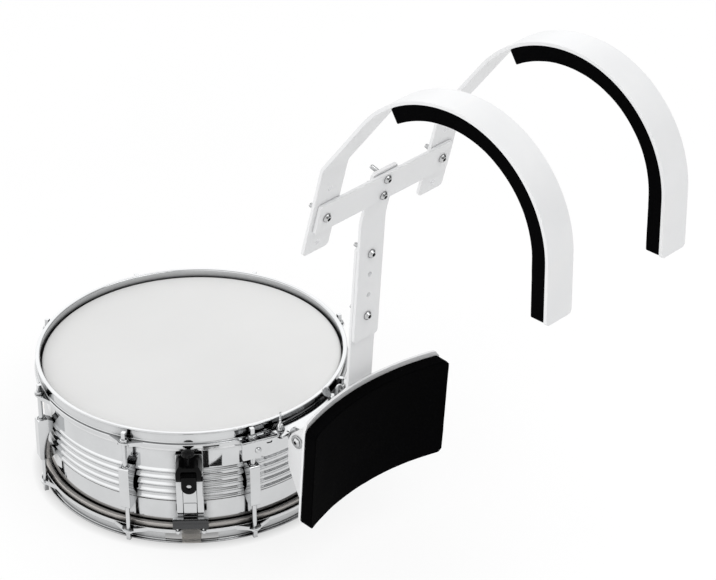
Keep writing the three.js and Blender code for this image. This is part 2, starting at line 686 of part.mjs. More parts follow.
// Wing screw with its butterfly head along X
function wingScrewShape() {
  const foot = yokeTop + clearance;
  const body = turned([
    [0, wingScrew.end], [wingScrew.radius, wingScrew.end], [wingScrew.radius, foot], [wingScrew.hub, foot],
    [wingScrew.hubTop, foot + wingScrew.hubHeight], [0, foot + wingScrew.hubHeight]], bolt.sides);
  const fan = new THREE.Shape();
  const tip = wingScrew.reach - wingScrew.lobe;
  const high = foot + wingScrew.rise;
  fan.moveTo(-wingScrew.hubTop, foot + clearance);
  fan.lineTo(wingScrew.hubTop, foot + clearance);
  fan.absarc(tip, high - wingScrew.lobe, wingScrew.lobe, -Math.PI / 4, Math.PI, false);
  fan.quadraticCurveTo(0, foot + wingScrew.hubHeight, -tip + wingScrew.lobe, high - wingScrew.lobe);
  fan.absarc(-tip, high - wingScrew.lobe, wingScrew.lobe, 0, 5 * Math.PI / 4, false);
  return join(body, alongY(fan, -wingScrew.thickness / 2, wingScrew.thickness / 2));
}

// Tilt bolt with its washer outside the carrier's wing and its nut inside the ear, along +X
function tiltBolt() {
  const outer = wing.face + clearance;
  const inner = earFace - yoke.thickness - clearance;
  const headFrom = outer + tilt.washerThickness;
  return lyingX(turned([
    [0, inner - tiltNut.thickness], [tiltNut.radius, inner - tiltNut.thickness], [tiltNut.radius, inner],
    [tilt.bolt, inner], [tilt.bolt, outer], [tilt.washer, outer], [tilt.washer, headFrom],
    [tilt.headRadius, headFrom], [tilt.headRadius, headFrom + tilt.head], [0, headFrom + tilt.head]],
  bolt.sides));
}

// Everything from here to the assembly is drawn from the tilt bolts, with Z along the lean
const bellyCentre = -belly.setBack - belly.radius;

function curvedSlab(outer, inner, half, low, high, corner) {
  const reach = Math.asin(half / outer);
  const steps = belly.steps;
  const arc = (radius) => Array.from({ length: steps + 1 }, (_, i) => {
    const angle = -reach + 2 * reach * i / steps;
    return [radius * Math.sin(angle), bellyCentre + radius * Math.cos(angle)];
  });
  const plan = outline([...arc(outer), ...arc(inner).reverse()]);
  const front = outline([
    [-half, low + corner], [-half + corner, low], [half - corner, low], [half, low + corner],
    [half, high - corner], [half - corner, high], [-half + corner, high], [-half, high - corner]]);
  const depth = outer - inner + half;
  return common(alongZ(plan, low, high), alongY(front, -belly.setBack - depth, -belly.setBack + overrun));
}

const plateHoles = [lowerBar.firstBolt, lowerBar.firstBolt + lowerBar.boltPitch];

// Side plate that stands on the drum's side of the belly plate
function wingShape(side) {
  const inner = wing.face - wing.thickness;
  const rear = -belly.setBack - belly.plate / 2 - inner * inner / (2 * belly.radius);
  const profile = outline([
    [rear, wing.rearLowZ], [wing.chinBackY, wing.chinBackZ], [wing.chinFrontY, wing.chinFrontZ],
    [wing.frontLowY, wing.frontLowZ], [wing.frontTopY, wing.frontTopZ], [rear, wing.rearTopZ]]);
  return alongX(profile, ...[side * wing.face, side * inner].sort((a, b) => a - b));
}

// Curved plate with both side plates welded on
function bellyPlateShape() {
  const face = -belly.setBack - belly.plate;
  const inner = belly.radius - belly.plate;
  const plate = curvedSlab(belly.radius, inner, belly.half, belly.low, belly.high, belly.corner);
  const holes = plateHoles.flatMap((z) => [
    lyingY(pin(bolt.radius + clearance, face - overrun, -belly.setBack + overrun, bolt.sides))
      .translate(0, 0, z),
    lyingY(pin(sunkHead.radius + clearance, face - overrun, face + sunkHead.depth + clearance, bolt.sides))
      .translate(0, 0, z)]);
  const tiltHole = lyingX(pin(tilt.bolt + clearance, -wing.face - overrun, wing.face + overrun, bolt.sides));
  return cut(join(plate, wingShape(-1), wingShape(1)), ...holes, tiltHole);
}

// Foam slab: a crowned face towards the player, drawn in round its sides
function bellyPadShape() {
  const back = belly.radius - belly.plate - clearance;
  const face = back - bellyPad.thickness;
  const body = curvedSlab(back, face + bellyPad.crown, bellyPad.half, bellyPad.low, bellyPad.high,
    bellyPad.corner);
  const inset = bellyPad.crown + bellyPad.drawIn;
  const crown = curvedSlab(back - bellyPad.crown, face, bellyPad.half - inset, bellyPad.low + inset,
    bellyPad.high - inset, bellyPad.corner);
  return join(body, crown);
}

function barHole(radius, x, z, depth) {
  return lyingY(pin(radius, -depth, depth, bolt.sides)).translate(x, 0, z);
}

function cornered(half, low, high) {
  const c = bar.corner;
  return outline([
    [-half + c, low], [half - c, low], [half, low + c], [half, high - c],
    [half - c, high], [-half + c, high], [-half, high - c], [-half, low + c]]);
}

function flatBar(low, high) {
  return cornered(bar.width / 2, low, high);
}

const lowerBack = -belly.setBack + clearance;
const upperBack = lowerBack - clearance - bar.thickness;
const holeHeights = Array.from(
  { length: heightHoles.count }, (_, i) => heightHoles.first + i * heightHoles.pitch);

function lowerBarShape() {
  const body = alongY(flatBar(lowerBar.low, lowerBar.high), lowerBack, lowerBack + bar.thickness);
  return cut(body, ...[...plateHoles, ...holeHeights].map(
    (z) => barHole(bar.hole, 0, z, -lowerBack + overrun)));
}

// Upper bar, bent back near its top where the crossbar lies on it
function upperBarShape() {
  const straight = upperBar.bend - upperBar.low;
  const path = bentPath([upperBack, upperBar.low], rightAngle, [
    { length: straight }, { kink: upperBar.bendAngle }, { length: upperBar.top }]);
  const side = alongX(strip(path, 0, -bar.thickness), -bar.width / 2, bar.width / 2);
  const front = alongY(flatBar(upperBar.low, path[2].y + bar.thickness),
    path[2].x - overrun, upperBack + bar.thickness + overrun);
  const holes = holeHeights.map((z) => barHole(bar.hole, 0, z, -upperBack + overrun));
  const top = crossbarHoles().map((hole) => crossingToCarrier(hole));
  return cut(common(side, front), ...holes, ...top);
}

// The crossing's own frame starts where the upper bar bends, on its face towards the player
function crossingToCarrier(geometry) {
  return geometry.rotateX(upperBar.bendAngle * degrees).translate(0, upperBack, upperBar.bend);
}

function crossbarHoles() {
  return [-1, 1].map((side) => barHole(
    bar.hole, 0, crossbar.centre + side * crossbar.boltSpacing / 2, 2 * bar.thickness + overrun));
}

function endHole(side) {
  return barHole(bar.hole, side * shoulder.offset, crossbar.centre, 2 * bar.thickness + overrun);
}

function crossbarShape() {
  const [low, high] = [crossbar.centre - crossbar.height / 2, crossbar.centre + crossbar.height / 2];
  const front = cornered(crossbar.length / 2, low, high);
  const body = alongY(front, -clearance - bar.thickness, -clearance);
  return cut(body, ...crossbarHoles(), endHole(-1), endHole(1));
}

// Side path of a shoulder bar's underside, from its lower end over the shoulder and down the back,
// broken where the pad starts. It is drawn from its own bolt, which passes at zero.
function shoulderPieces(drop) {
  const rest = rightAngle - tilt.lean - upperBar.bendAngle - shoulder.kink;
  return [
    { length: shoulder.tail + shoulder.riser }, { kink: shoulder.kink }, { length: shoulder.slope },
    { radius: shoulder.frontRadius, turn: shoulderPad.startAngle },
    { radius: shoulder.frontRadius, turn: rest - shoulderPad.startAngle },
    { radius: shoulder.rearRadius, turn: rightAngle }, { length: drop }];
}

function shoulderPath(pieces) {
  return bentPath([0, -shoulder.tail], rightAngle, pieces);
}

function shoulderBarShape() {
  const path = shoulderPath(shoulderPieces(shoulder.drop));
  const side = alongX(strip(path, 0, -bar.thickness), -bar.width / 2, bar.width / 2);
  const holes = [-1, 0, 1].map(
    (step) => barHole(bar.hole, 0, step * shoulder.holePitch, bar.thickness + overrun));
  return cut(side, ...holes);
}

// Foam strip under the arch, with its lower edges eased
function shoulderPadShape() {
  const pieces = shoulderPieces(shoulder.drop - shoulderPad.endShort);
  const startsAt = shoulderPath(pieces.slice(0, 4)).length - 1;
  const path = shoulderPath(pieces).slice(startsAt);
  const [half, edge, thickness] = [bar.width / 2, shoulderPad.edge, shoulderPad.thickness];
  const full = alongX(strip(path, clearance, thickness - edge), -half, half);
  const crown = alongX(strip(path, clearance, thickness), -half + edge, half - edge);
  return join(full, crown);
}

// Bolt through two bars: head towards the player, nut and long tip on the drum's side, along +Y
function barBolt(face, thickness) {
  const head = face - clearance;
  const back = face + thickness + clearance;
  return lyingY(turned([
    [0, head - bolt.head], [bolt.headRadius, head - bolt.head], [bolt.headRadius, head], [bolt.radius, head],
    [bolt.radius, back], [bolt.headRadius, back], [bolt.headRadius, back + bolt.nut],
    [bolt.radius, back + bolt.nut], [bolt.radius, back + bolt.nut + bolt.tip], [0, back + bolt.nut + bolt.tip]],
  bolt.sides));
}

const pairThickness = 2 * bar.thickness + clearance;

function crossingBolt() {
  return barBolt(-clearance - bar.thickness, pairThickness);
}

// Flat-headed bolt that holds the lower bar to the belly plate, sunk under the pad
function plateBoltShape() {
  const head = -belly.setBack - belly.plate + clearance / 2;
  const back = lowerBack + bar.thickness + clearance;
  return lyingY(turned([
    [0, head], [sunkHead.radius, head], [sunkHead.radius, head + sunkHead.depth - clearance],
    [bolt.radius, head + sunkHead.depth - clearance], [bolt.radius, back], [bolt.headRadius, back],
    [bolt.headRadius, back + bolt.nut], [0, back + bolt.nut]], bolt.sides));
}

// Assembly
function piece(name, geometry, finish, parent) {
  const mesh = new THREE.Mesh(tidy(geometry), new THREE.MeshStandardMaterial(finishes[finish]));
  mesh.name = name;
  parent.add(mesh);
  return mesh;
}

function turnedGroup(angle, parent) {
  const group = new THREE.Group();
  group.rotation.z = angle * degrees;
  parent.add(group);
  return group;
}

function buildDrum(parent) {
  piece('shell', shellShape(), 'chrome', parent);
  piece('vent_grommet', ventShape(), 'brass', turnedGroup(ring.ventAt, parent));
  piece('batter_head', turned(headProfile()), 'film', parent);
  piece('snare_head', turned(mirroredHeight(headProfile())), 'film', parent);
  piece('batter_flesh_hoop', turnedRing(fleshHoopProfile()), 'steel', parent);
  piece('snare_flesh_hoop', turnedRing(mirroredHeight(fleshHoopProfile())), 'steel', parent);
  piece('batter_hoop', hoopShape(), 'chrome', parent);
  piece('snare_hoop', snareHoopShape(), 'chrome', parent);
  lugAngles.forEach((angle, i) => {
    const at = turnedGroup(angle, parent);
    piece(`lug_${i + 1}`, lugShape(), 'chrome', at);
    piece(`batter_rod_${i + 1}`, batterRod(angle), 'chrome', at);
  });
}

function buildStrainer(parent) {
  const at = turnedGroup(ring.strainerAt, parent);
  piece('strainer_base', strainerBase(), 'chrome', at);
  piece('strainer_housing', housingShape(), 'black', at);
  piece('lever_pin', leverPin(), 'steel', at);
  piece('throw_lever', leverShape(), 'black', at);
  piece('tension_knob', knobShape(), 'black', at);
  piece('strainer_slide', slideShape(), 'chrome', at);
  piece('strainer_clamp', clampShape(), 'chrome', at);
  piece('snare_strap_front', strapShape(), 'clear', at);
}

function buildSnares(parent) {
  const at = turnedGroup(ring.buttAt, parent);
  piece('butt_plate', buttPlateShape(), 'chrome', at);
  piece('butt_clamp', buttClampShape(), 'chrome', at);
  piece('snare_wires', wireShapes(), 'steel', at);
  piece('snare_strap_rear', strapShape(), 'clear', at);
}

function buildYoke(parent) {
  for (const { side, angle } of bracketSides) {
    const name = side < 0 ? 'right' : 'left';
    piece(`drum_bracket_${name}`, drumBracket(side), 'chrome', turnedGroup(angle, parent));
    const wingScrewMesh = piece(`wing_screw_${name}`, wingScrewShape(), 'chrome', parent);
    wingScrewMesh.position.set(-side * screwX, screwY, 0);
    wingScrewMesh.rotation.z = wingTurns[name] * degrees;
  }
  piece('tilt_yoke', yokeShape(), 'chrome', parent);
}

function buildCarrier(parent) {
  const carrier = new THREE.Group();
  carrier.position.set(0, tilt.y, tilt.z);
  carrier.rotation.x = tilt.lean * degrees;
  parent.add(carrier);
  piece('tilt_bolt_left', tiltBolt().rotateZ(Math.PI), 'chrome', carrier);
  piece('tilt_bolt_right', tiltBolt(), 'chrome', carrier);
  piece('belly_plate', bellyPlateShape(), 'white', carrier);
  piece('belly_pad', bellyPadShape(), 'foam', carrier);
  piece('lower_bar', lowerBarShape(), 'white', carrier);
  piece('upper_bar', upperBarShape(), 'white', carrier);
  const [lowest, highest] = [holeHeights[0], holeHeights[holeHeights.length - 1]];
  piece('plate_bolt_lower', plateBoltShape(), 'steel', carrier).position.z = plateHoles[0];
  piece('plate_bolt_upper', plateBoltShape(), 'steel', carrier).position.z = plateHoles[1];
  piece('height_bolt_lower', barBolt(upperBack, pairThickness), 'chrome', carrier).position.z = lowest;
  piece('height_bolt_upper', barBolt(upperBack, pairThickness), 'chrome', carrier).position.z = highest;
  const crossing = new THREE.Group();
  crossing.position.set(0, upperBack, upperBar.bend);
  crossing.rotation.x = upperBar.bendAngle * degrees;
  carrier.add(crossing);
  piece('crossbar', crossbarShape(), 'white', crossing);
  for (const [name, side] of [['lower', -1], ['upper', 1]]) {
    const height = crossbar.centre + side * crossbar.boltSpacing / 2;
    piece(`crossbar_bolt_${name}`, crossingBolt(), 'chrome', crossing).position.z = height;
  }
  for (const [name, side] of [['left', -1], ['right', 1]]) {
    const at = new THREE.Group();
    at.position.set(side * shoulder.offset, 0, crossbar.centre);
    crossing.add(at);
    piece(`shoulder_bar_${name}`, shoulderBarShape(), 'white', at);
    piece(`shoulder_pad_${name}`, shoulderPadShape(), 'foam', at);
    piece(`shoulder_bolt_${name}`, crossingBolt(), 'chrome', at);
  }
}

// The origin lies on the floor under the middle of the whole outfit
const assembly = new THREE.Group();
buildDrum(assembly);
buildStrainer(assembly);
buildSnares(assembly);
buildYoke(assembly);
buildCarrier(assembly);
assembly.updateMatrixWorld(true);
const extent = new THREE.Box3().setFromObject(assembly, true);
assembly.position.y = -(extent.min.y + extent.max.y) / 2;

const part = new THREE.Group();
part.add(assembly);
export default part;
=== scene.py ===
# Looks of a marching snare drum on its shoulder carrier. Forms are drawn in millimetres round
# the drum's axis, with the drum's foot at zero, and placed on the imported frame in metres.
import math

import bmesh
import bpy
from mathutils import Matrix, Vector, noise


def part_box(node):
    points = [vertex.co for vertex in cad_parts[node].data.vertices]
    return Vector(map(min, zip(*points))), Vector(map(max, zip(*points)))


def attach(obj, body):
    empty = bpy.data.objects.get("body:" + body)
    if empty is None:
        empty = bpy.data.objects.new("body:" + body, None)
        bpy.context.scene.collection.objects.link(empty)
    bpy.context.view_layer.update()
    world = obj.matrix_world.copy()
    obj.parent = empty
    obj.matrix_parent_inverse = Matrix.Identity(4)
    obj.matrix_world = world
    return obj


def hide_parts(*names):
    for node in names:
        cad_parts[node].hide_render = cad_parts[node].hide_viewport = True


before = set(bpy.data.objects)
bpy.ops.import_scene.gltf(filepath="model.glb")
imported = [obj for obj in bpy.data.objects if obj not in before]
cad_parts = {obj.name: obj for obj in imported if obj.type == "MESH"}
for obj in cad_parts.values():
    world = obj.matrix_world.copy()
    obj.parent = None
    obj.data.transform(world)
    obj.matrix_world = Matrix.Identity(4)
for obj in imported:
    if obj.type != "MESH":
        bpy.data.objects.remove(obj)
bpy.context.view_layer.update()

MM = 0.001
HEAD_LOW, HEAD_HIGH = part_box("batter_head")
AXIS_Y = (HEAD_LOW.y + HEAD_HIGH.y) / 2
TO_ROW = Matrix.Translation((0, AXIS_Y, 0)) @ Matrix.Scale(MM, 4)

# Drum: SEAT is the radius at which fittings sit on the shell, and angles go round from +X.
HEIGHT, RADIUS, WALL = 153.7, 177.8, 1.2
HEAD_TOP, FILM = 145.1, 0.6
HOOP_FLANGE, HOOP_TOP = 137.1, 139.4
SEAT = 179.14
LUG_STEP = 45
LUG_ANGLES = [LUG_STEP / 2 + LUG_STEP * k for k in range(8)]
STRAINER, BUTT, VENT, PLAYER = 225, 45, 135, 270
ROD_CIRCLE, ROD_SEAT = 191.7, 139.7
LUG_SCREWS = (57.45, 96.25)
FLIP = Matrix.Translation((0, 0, HEIGHT)) @ Matrix.Rotation(math.pi, 4, "X")

# Strainer, with X out of the drum: the lever's axle, the faces of runner and jaws, and the strap
AXLE = (194, 0, 102)
JAW_LOW, JAW_HIGH, JAW_FACE, OUTER_JAW = 31, 41, 195.3, 196.4
STRAP_START, STRAP_LEVEL, STRAP_FACE = 165.3, 5.9, 196.1
STRAP_BEND, STRAP_THICK, STRAP_HALF = 4, 0.5, 11

# Wing screws stand on brackets that are half a lug step from the player's side.
SCREW_OUT, SCREW_ACROSS = 194.5, 34
NEAR = math.radians(LUG_STEP / 2)
SCREW_X = SCREW_ACROSS * math.cos(NEAR) - SCREW_OUT * math.sin(NEAR)
SCREW_Y = -SCREW_OUT * math.cos(NEAR) - SCREW_ACROSS * math.sin(NEAR)

# Carrier: angles in degrees, backs of bars as Y from the tilt axis
LEAN, BEND, KINK = 4.7, 10.8, 22.8
TILT = (0, -222, 142)
BAR_HALF, BAR_THICK, BAR_EASE, BAR_GAP = 19.2, 4.0, 0.7, 0.3
BELLY_RADIUS, BELLY_BACK, BELLY_FACE = 341.0, -49.3, 338
WING_INNER, WING_OUTER = 42, 45
WING_ROOT = BELLY_BACK - WING_INNER ** 2 / (2 * BELLY_RADIUS)
PLATE_BOLTS = (2, 58)
HEIGHT_HOLES = [182.8 + 27.4 * k for k in range(4)]
UPPER_BACK, BEND_HEIGHT = -53.3, 308.4
CROSS_LEVEL, CROSS_HALF, CROSS_BOLT, CROSS_BACK = 50.2, 19.4, 11.6, -4.3
SHOULDER_X, SHOULDER_FOOT = 90, 50.6
SHOULDER_RISE, SHOULDER_LENGTH = 69.1, 94.5
ARCH_RADIUS, ARCH_END_RADIUS, ARCH_TURN = 150, 125, 90 - LEAN - BEND - KINK
CARRIER = Matrix.Translation(TILT) @ Matrix.Rotation(math.radians(LEAN), 4, "X")
TO_BEND, BENT = Matrix.Translation((0, UPPER_BACK, BEND_HEIGHT)), Matrix.Rotation(math.radians(BEND), 4, "X")
CROSSING = CARRIER @ TO_BEND @ BENT
SIDES = (("left", -1), ("right", 1))
LEVELS = (("lower", -1), ("upper", 1))

# Camera, light and floor: angles in degrees, the camera's and the card's places in millimetres
AZIMUTH, ELEVATION, ROLL = -46.07, 31.03, -0.4
AIM, DISTANCE, ACROSS, UPWARD = Vector((0, 0, 80)), 3559.0, 198.05, 131.12
LENS, SENSOR = 148.4, 36
KEY = {"azimuth": 8, "elevation": 52, "distance": 3.4, "size": (2.4, 2.0), "power": 34}
FLOOR_RADIUS, FLOOR_DROP = 9, 0.0008
CARD = [(-182, -226), (-244, -307), (-192, -341), (-183, -322), (-213, -304), (-191, -269), (-161, -309),
        (-143, -251)]


# Camera
def towards(azimuth, elevation):
    """Direction from the object to a viewer, at degrees round from the player's side and up."""
    a, e = math.radians(azimuth), math.radians(elevation)
    return Vector((math.sin(a) * math.cos(e), -math.cos(a) * math.cos(e), math.sin(e)))


def place_camera():
    azimuth, roll = math.radians(AZIMUTH), math.radians(ROLL)
    back = towards(AZIMUTH, ELEVATION)
    right = Vector((math.cos(azimuth), math.sin(azimuth), 0))
    up = back.cross(right)
    across = right * math.cos(roll) + up * math.sin(roll)
    upright = up * math.cos(roll) - right * math.sin(roll)
    eye = AIM + back * DISTANCE + across * ACROSS + upright * UPWARD
    data = bpy.data.cameras.new("camera")
    data.lens, data.sensor_width = LENS, SENSOR
    data.clip_start, data.clip_end = 0.05, 60
    camera = bpy.data.objects.new("camera", data)
    turn = Matrix((across, upright, back)).transposed().to_4x4()
    camera.matrix_world = Matrix.Translation(TO_ROW @ eye) @ turn
    bpy.context.scene.collection.objects.link(camera)
    bpy.context.scene.camera = camera


# Node materials
def material(name, **values):
    made = bpy.data.materials.new(name + "_finish")
    made.use_nodes = True
    shader = made.node_tree.nodes["Principled BSDF"]
    for key, value in values.items():
        shader.inputs[key.replace("_", " ")].default_value = value
    return made, made.node_tree, shader


def feed(tree, socket, value):
    """A link where the value is another node's output, otherwise a plain value."""
    if isinstance(value, bpy.types.NodeSocket):
        tree.links.new(value, socket)
    else:
        socket.default_value = value


def surface(tree, shader, colour, roughness, normal):
    for name, value in (("Base Color", colour), ("Roughness", roughness), ("Normal", normal)):
        tree.links.new(value, shader.inputs[name])


def node(tree, kind, inputs=None, **settings):
    made = tree.nodes.new(kind)
    for key, value in settings.items():
        setattr(made, key, value)
    for key, value in (inputs or {}).items():
        feed(tree, made.inputs[key], value)
    return made


def place_of(tree, scale=(1, 1, 1)):
    where = node(tree, "ShaderNodeTexCoord").outputs["Object"]
    return node(tree, "ShaderNodeMapping", {"Vector": where, "Scale": scale}).outputs["Vector"]


def cloud(tree, where, scale, detail=3.0, roughness=0.55):
    return node(tree, "ShaderNodeTexNoise", {
        "Vector": where, "Scale": scale, "Detail": detail, "Roughness": roughness}).outputs["Fac"]


def ramp(tree, value, stops):
    made = node(tree, "ShaderNodeValToRGB", {"Fac": value})
    parts = made.color_ramp.elements
    while len(parts) < len(stops):
        parts.new(0.5)
    for part, (place, shade) in zip(parts, stops):
        part.position = place
        part.color = (*shade, 1) if isinstance(shade, tuple) else (shade, shade, shade, 1)
    return made.outputs["Color"]


def spread(tree, value, low, high, start=0.3, end=0.7):
    return node(tree, "ShaderNodeMapRange", {
        "Value": value, "From Min": start, "From Max": end, "To Min": low, "To Max": high}).outputs["Result"]


def blend_colour(tree, factor, first, second, mode="MIX"):
    made = node(tree, "ShaderNodeMix", data_type="RGBA", blend_type=mode)
    for socket, value in ((0, factor), (6, first), (7, second)):
        feed(tree, made.inputs[socket], value)
    return made.outputs[2]


def bump(tree, height, strength, distance, under=None):
    inputs = {"Height": height, "Strength": strength, "Distance": distance}
    if under is not None:
        inputs["Normal"] = under
    return node(tree, "ShaderNodeBump", inputs).outputs["Normal"]


def worn_edges(tree):
    points = node(tree, "ShaderNodeNewGeometry").outputs["Pointiness"]
    return spread(tree, points, 0.0, 1.0, 0.53, 0.62)


def metal(name, colour, dull, waves, smear):
    """Plated metal with haze and wipe marks, and painted shade darkening its nooks and the gaps between parts.
    Waves are a height in metres.
    """
    made, tree, shader = material(name, Metallic=1.0)
    where = place_of(tree)
    haze = cloud(tree, where, 22, 4, 0.6)
    wiped = cloud(tree, place_of(tree, (1, 1, 9)), 60, 5, 0.65)
    tone = ramp(tree, haze, [(0.3, tuple(c * 0.93 for c in colour)), (0.7, colour)])
    # Painted shade: ambient occlusion darkens the base colour in nooks, creases and gaps between parts.
    painted_nook_shade = node(tree, "ShaderNodeAmbientOcclusion", {"Distance": 0.016}, samples=8).outputs["AO"]
    tone = blend_colour(tree, 1.0, tone, ramp(tree, painted_nook_shade, [(0.24, 0.04), (0.5, 0.40), (0.82, 1.0)]), "MULTIPLY")
    rough = node(tree, "ShaderNodeMath", {
        0: spread(tree, wiped, dull, dull + smear, 0.35, 0.75),
        1: spread(tree, haze, 0.0, smear * 0.6)}, operation="ADD").outputs[0]
    surface(tree, shader, tone, rough, bump(tree, cloud(tree, where, 38, 2, 0.4), 0.35, waves))
    return made


def powder_coat():
    made, tree, shader = material("white_powder_coat", Coat_Weight=0.25, Coat_Roughness=0.22)
    where = place_of(tree)
    soil = cloud(tree, where, 14, 5, 0.6)
    tone = ramp(tree, soil, [(0.3, (0.765, 0.77, 0.78)), (0.7, (0.80, 0.805, 0.81))])
    tone = blend_colour(tree, worn_edges(tree), tone, (0.80, 0.80, 0.80, 1))
    peel = bump(tree, cloud(tree, where, 900, 2, 0.5), 0.22, 0.00006)
    surface(tree, shader, tone, spread(tree, soil, 0.36, 0.5),
            bump(tree, cloud(tree, where, 130, 2, 0.5), 0.12, 0.00015, peel))
    return made


def foam():
    made, tree, shader = material("black_foam", Sheen_Weight=0.004, Sheen_Roughness=0.6)
    shader.inputs["Specular IOR Level"].default_value = 0.008
    where = place_of(tree)
    soil = cloud(tree, where, 9, 6, 0.6)
    cells = node(tree, "ShaderNodeTexVoronoi", {"Vector": where, "Scale": 620.0}).outputs["Distance"]
    tone = ramp(tree, soil, [(0.3, (0.0003, 0.0003, 0.0004)), (0.72, (0.0012, 0.0012, 0.0014))])
    tone = blend_colour(tree, spread(tree, cells, 0.0, 0.5, 0.35, 0.8), tone, (0.0026, 0.0026, 0.0029, 1))
    fine = bump(tree, cells, 0.5, 0.00025)
    surface(tree, shader, tone, spread(tree, soil, 0.72, 0.92),
            bump(tree, cloud(tree, where, 85, 4, 0.6), 0.35, 0.0006, fine))
    return made


def coated_film():
    made, tree, shader = material("coated_film")
    where = place_of(tree)
    patches = cloud(tree, where, 7, 5, 0.6)
    grain = cloud(tree, where, 1500, 3, 0.6)
    tone = ramp(tree, patches, [(0.3, (0.735, 0.735, 0.73)), (0.7, (0.76, 0.76, 0.755))])
    tone = blend_colour(tree, 0.06, tone, ramp(tree, grain, [(0.3, 0.6), (0.7, 0.9)]))
    surface(tree, shader, tone, spread(tree, grain, 0.5, 0.68), bump(tree, grain, 0.18, 0.00008))
    return made


def film(name, colour, clear, dull):
    made, tree, shader = material(name, Transmission_Weight=clear, IOR=1.45)
    where = place_of(tree)
    haze = cloud(tree, where, 16, 5, 0.6)
    tone = ramp(tree, haze, [(0.3, tuple(c * 0.94 for c in colour)), (0.7, colour)])
    surface(tree, shader, tone, spread(tree, haze, dull, dull + 0.14),
            bump(tree, cloud(tree, where, 55, 3, 0.5), 0.1, 0.0002))
    return made


def moulding():
    made, tree, shader = material("black_moulding")
    shader.inputs["Specular IOR Level"].default_value = 0.10
    where = place_of(tree)
    soil = cloud(tree, where, 60, 5, 0.6)
    tone = ramp(tree, soil, [(0.3, (0.0012, 0.0012, 0.0014)), (0.7, (0.003, 0.003, 0.0034))])
    tone = blend_colour(tree, worn_edges(tree), tone, (0.018, 0.018, 0.019, 1))
    surface(tree, shader, tone, spread(tree, soil, 0.26, 0.42),
            bump(tree, cloud(tree, where, 1400, 2, 0.5), 0.2, 0.00005))
    return made


CHROME = metal("mirror_chrome", (0.65, 0.658, 0.665), 0.03, 0.00010, 0.03)
BOLT = metal("bolt_chrome", (0.56, 0.565, 0.57), 0.12, 0.00006, 0.10)
HOOP_METAL = metal("hoop_metal", (0.72, 0.725, 0.73), 0.07, 0.0001, 0.06)
RING_METAL = metal("hoop_metal", (0.47, 0.45, 0.43), 0.34, 0.0001, 0.12)
DARK_STEEL = metal("pin_steel", (0.075, 0.076, 0.078), 0.2, 0.0001, 0.1)
STEEL = metal("wire_steel", (0.60, 0.605, 0.61), 0.25, 0.0001, 0.12)
BRASS = metal("vent_brass", (0.78, 0.60, 0.30), 0.16, 0.0001, 0.1)
WHITE = powder_coat()
FOAM = foam()
COATED = coated_film()
CLEAR = film("clear_film", (0.80, 0.80, 0.78), 0.35, 0.2)
STRAP = film("strap_plastic", (0.62, 0.60, 0.57), 0.9, 0.12)
BLACK = moulding()


# Outlines
def soften(points, radius, steps=3, closed=True):
    """Rounds each corner of an outline, as far as its sides allow."""
    made, count = [], len(points)
    for i, point in enumerate(points):
        reach = radius[i] if isinstance(radius, (list, tuple)) else radius
        if not reach or (not closed and i in (0, count - 1)):
            made.append(Vector(point))
            continue
        corner = Vector(point)
        before, after = Vector(points[i - 1]) - corner, Vector(points[(i + 1) % count]) - corner
        start = corner + before.normalized() * min(reach, before.length * 0.48)
        end = corner + after.normalized() * min(reach, after.length * 0.48)
        for k in range(steps + 1):
            t = k / steps
            made.append(start * (1 - t) ** 2 + corner * 2 * t * (1 - t) + end * t * t)
    return [tuple(p) for p in made]


def box_outline(x0, x1, y0, y1):
    return [(x0, y0), (x1, y0), (x1, y1), (x0, y1)]


def mirrored(points):
    return list(points) + [(x, -y) for x, y in reversed(points)]


def arc(cx, cy, radius, start, end, steps):
    return [(cx + radius * math.cos(math.radians(start + (end - start) * k / steps)),
             cy + radius * math.sin(math.radians(start + (end - start) * k / steps)))
            for k in range(steps + 1)]


def bent_path(start, heading, parts, step=2.5):
    """Points of straights, kinks and arcs in a plane. A kink turns the path sharply at a point."""
    points, angle = [Vector(start)], math.radians(heading)
    for kind, *size in parts:
        last = points[-1]
        if kind == "line":
            points.append(last + Vector((math.cos(angle), math.sin(angle))) * size[0])
        elif kind == "kink":
            angle += math.radians(size[0])
        else:
            radius, turn = size
            side = 1 if turn > 0 else -1
            centre = last + Vector((-math.sin(angle), math.cos(angle))) * side * radius
            count = math.ceil(abs(turn) / step)
            arm = last - centre
            for k in range(1, count + 1):
                turned = Matrix.Rotation(math.radians(turn) * k / count, 2) @ arm
                points.append(turned + centre)
            angle += math.radians(turn)
    return points


def beside(points, distance):
    made = []
    for i, point in enumerate(points):
        into = (point - points[i - 1]).normalized() if i else None
        out = (points[i + 1] - point).normalized() if i < len(points) - 1 else into
        into = into or out
        normal = Vector((-into.y - out.y, into.x + out.x)).normalized()
        made.append(point + normal * (distance / normal.dot(Vector((-into.y, into.x)))))
    return made


# Meshes, as bmesh
PLACES = {"z": lambda u, v, w: (u, v, w), "x": lambda u, v, w: (w, u, v), "y": lambda u, v, w: (u, w, v)}


def lathe(profile, steps=48, loop=True, flutes=0, depth=0.0):
    """A profile of radius and height turned round Z, with flutes where they are given."""
    form, rings = bmesh.new(), []
    for k in range(steps):
        angle = 2 * math.pi * k / steps
        swell = 1 - depth * (0.5 - 0.5 * math.cos(flutes * angle)) if flutes else 1
        rings.append([form.verts.new((r * swell * math.cos(angle), r * swell * math.sin(angle), z))
                      for r, z in profile])
    count = len(profile)
    for k, ring in enumerate(rings):
        nxt = rings[(k + 1) % steps]
        for i in range(count if loop else count - 1):
            j = (i + 1) % count
            form.faces.new((ring[i], nxt[i], nxt[j], ring[j]))
    bmesh.ops.remove_doubles(form, verts=form.verts, dist=1e-4)
    bmesh.ops.dissolve_degenerate(form, edges=form.edges, dist=1e-5)
    bmesh.ops.recalc_face_normals(form, faces=form.faces)
    return form


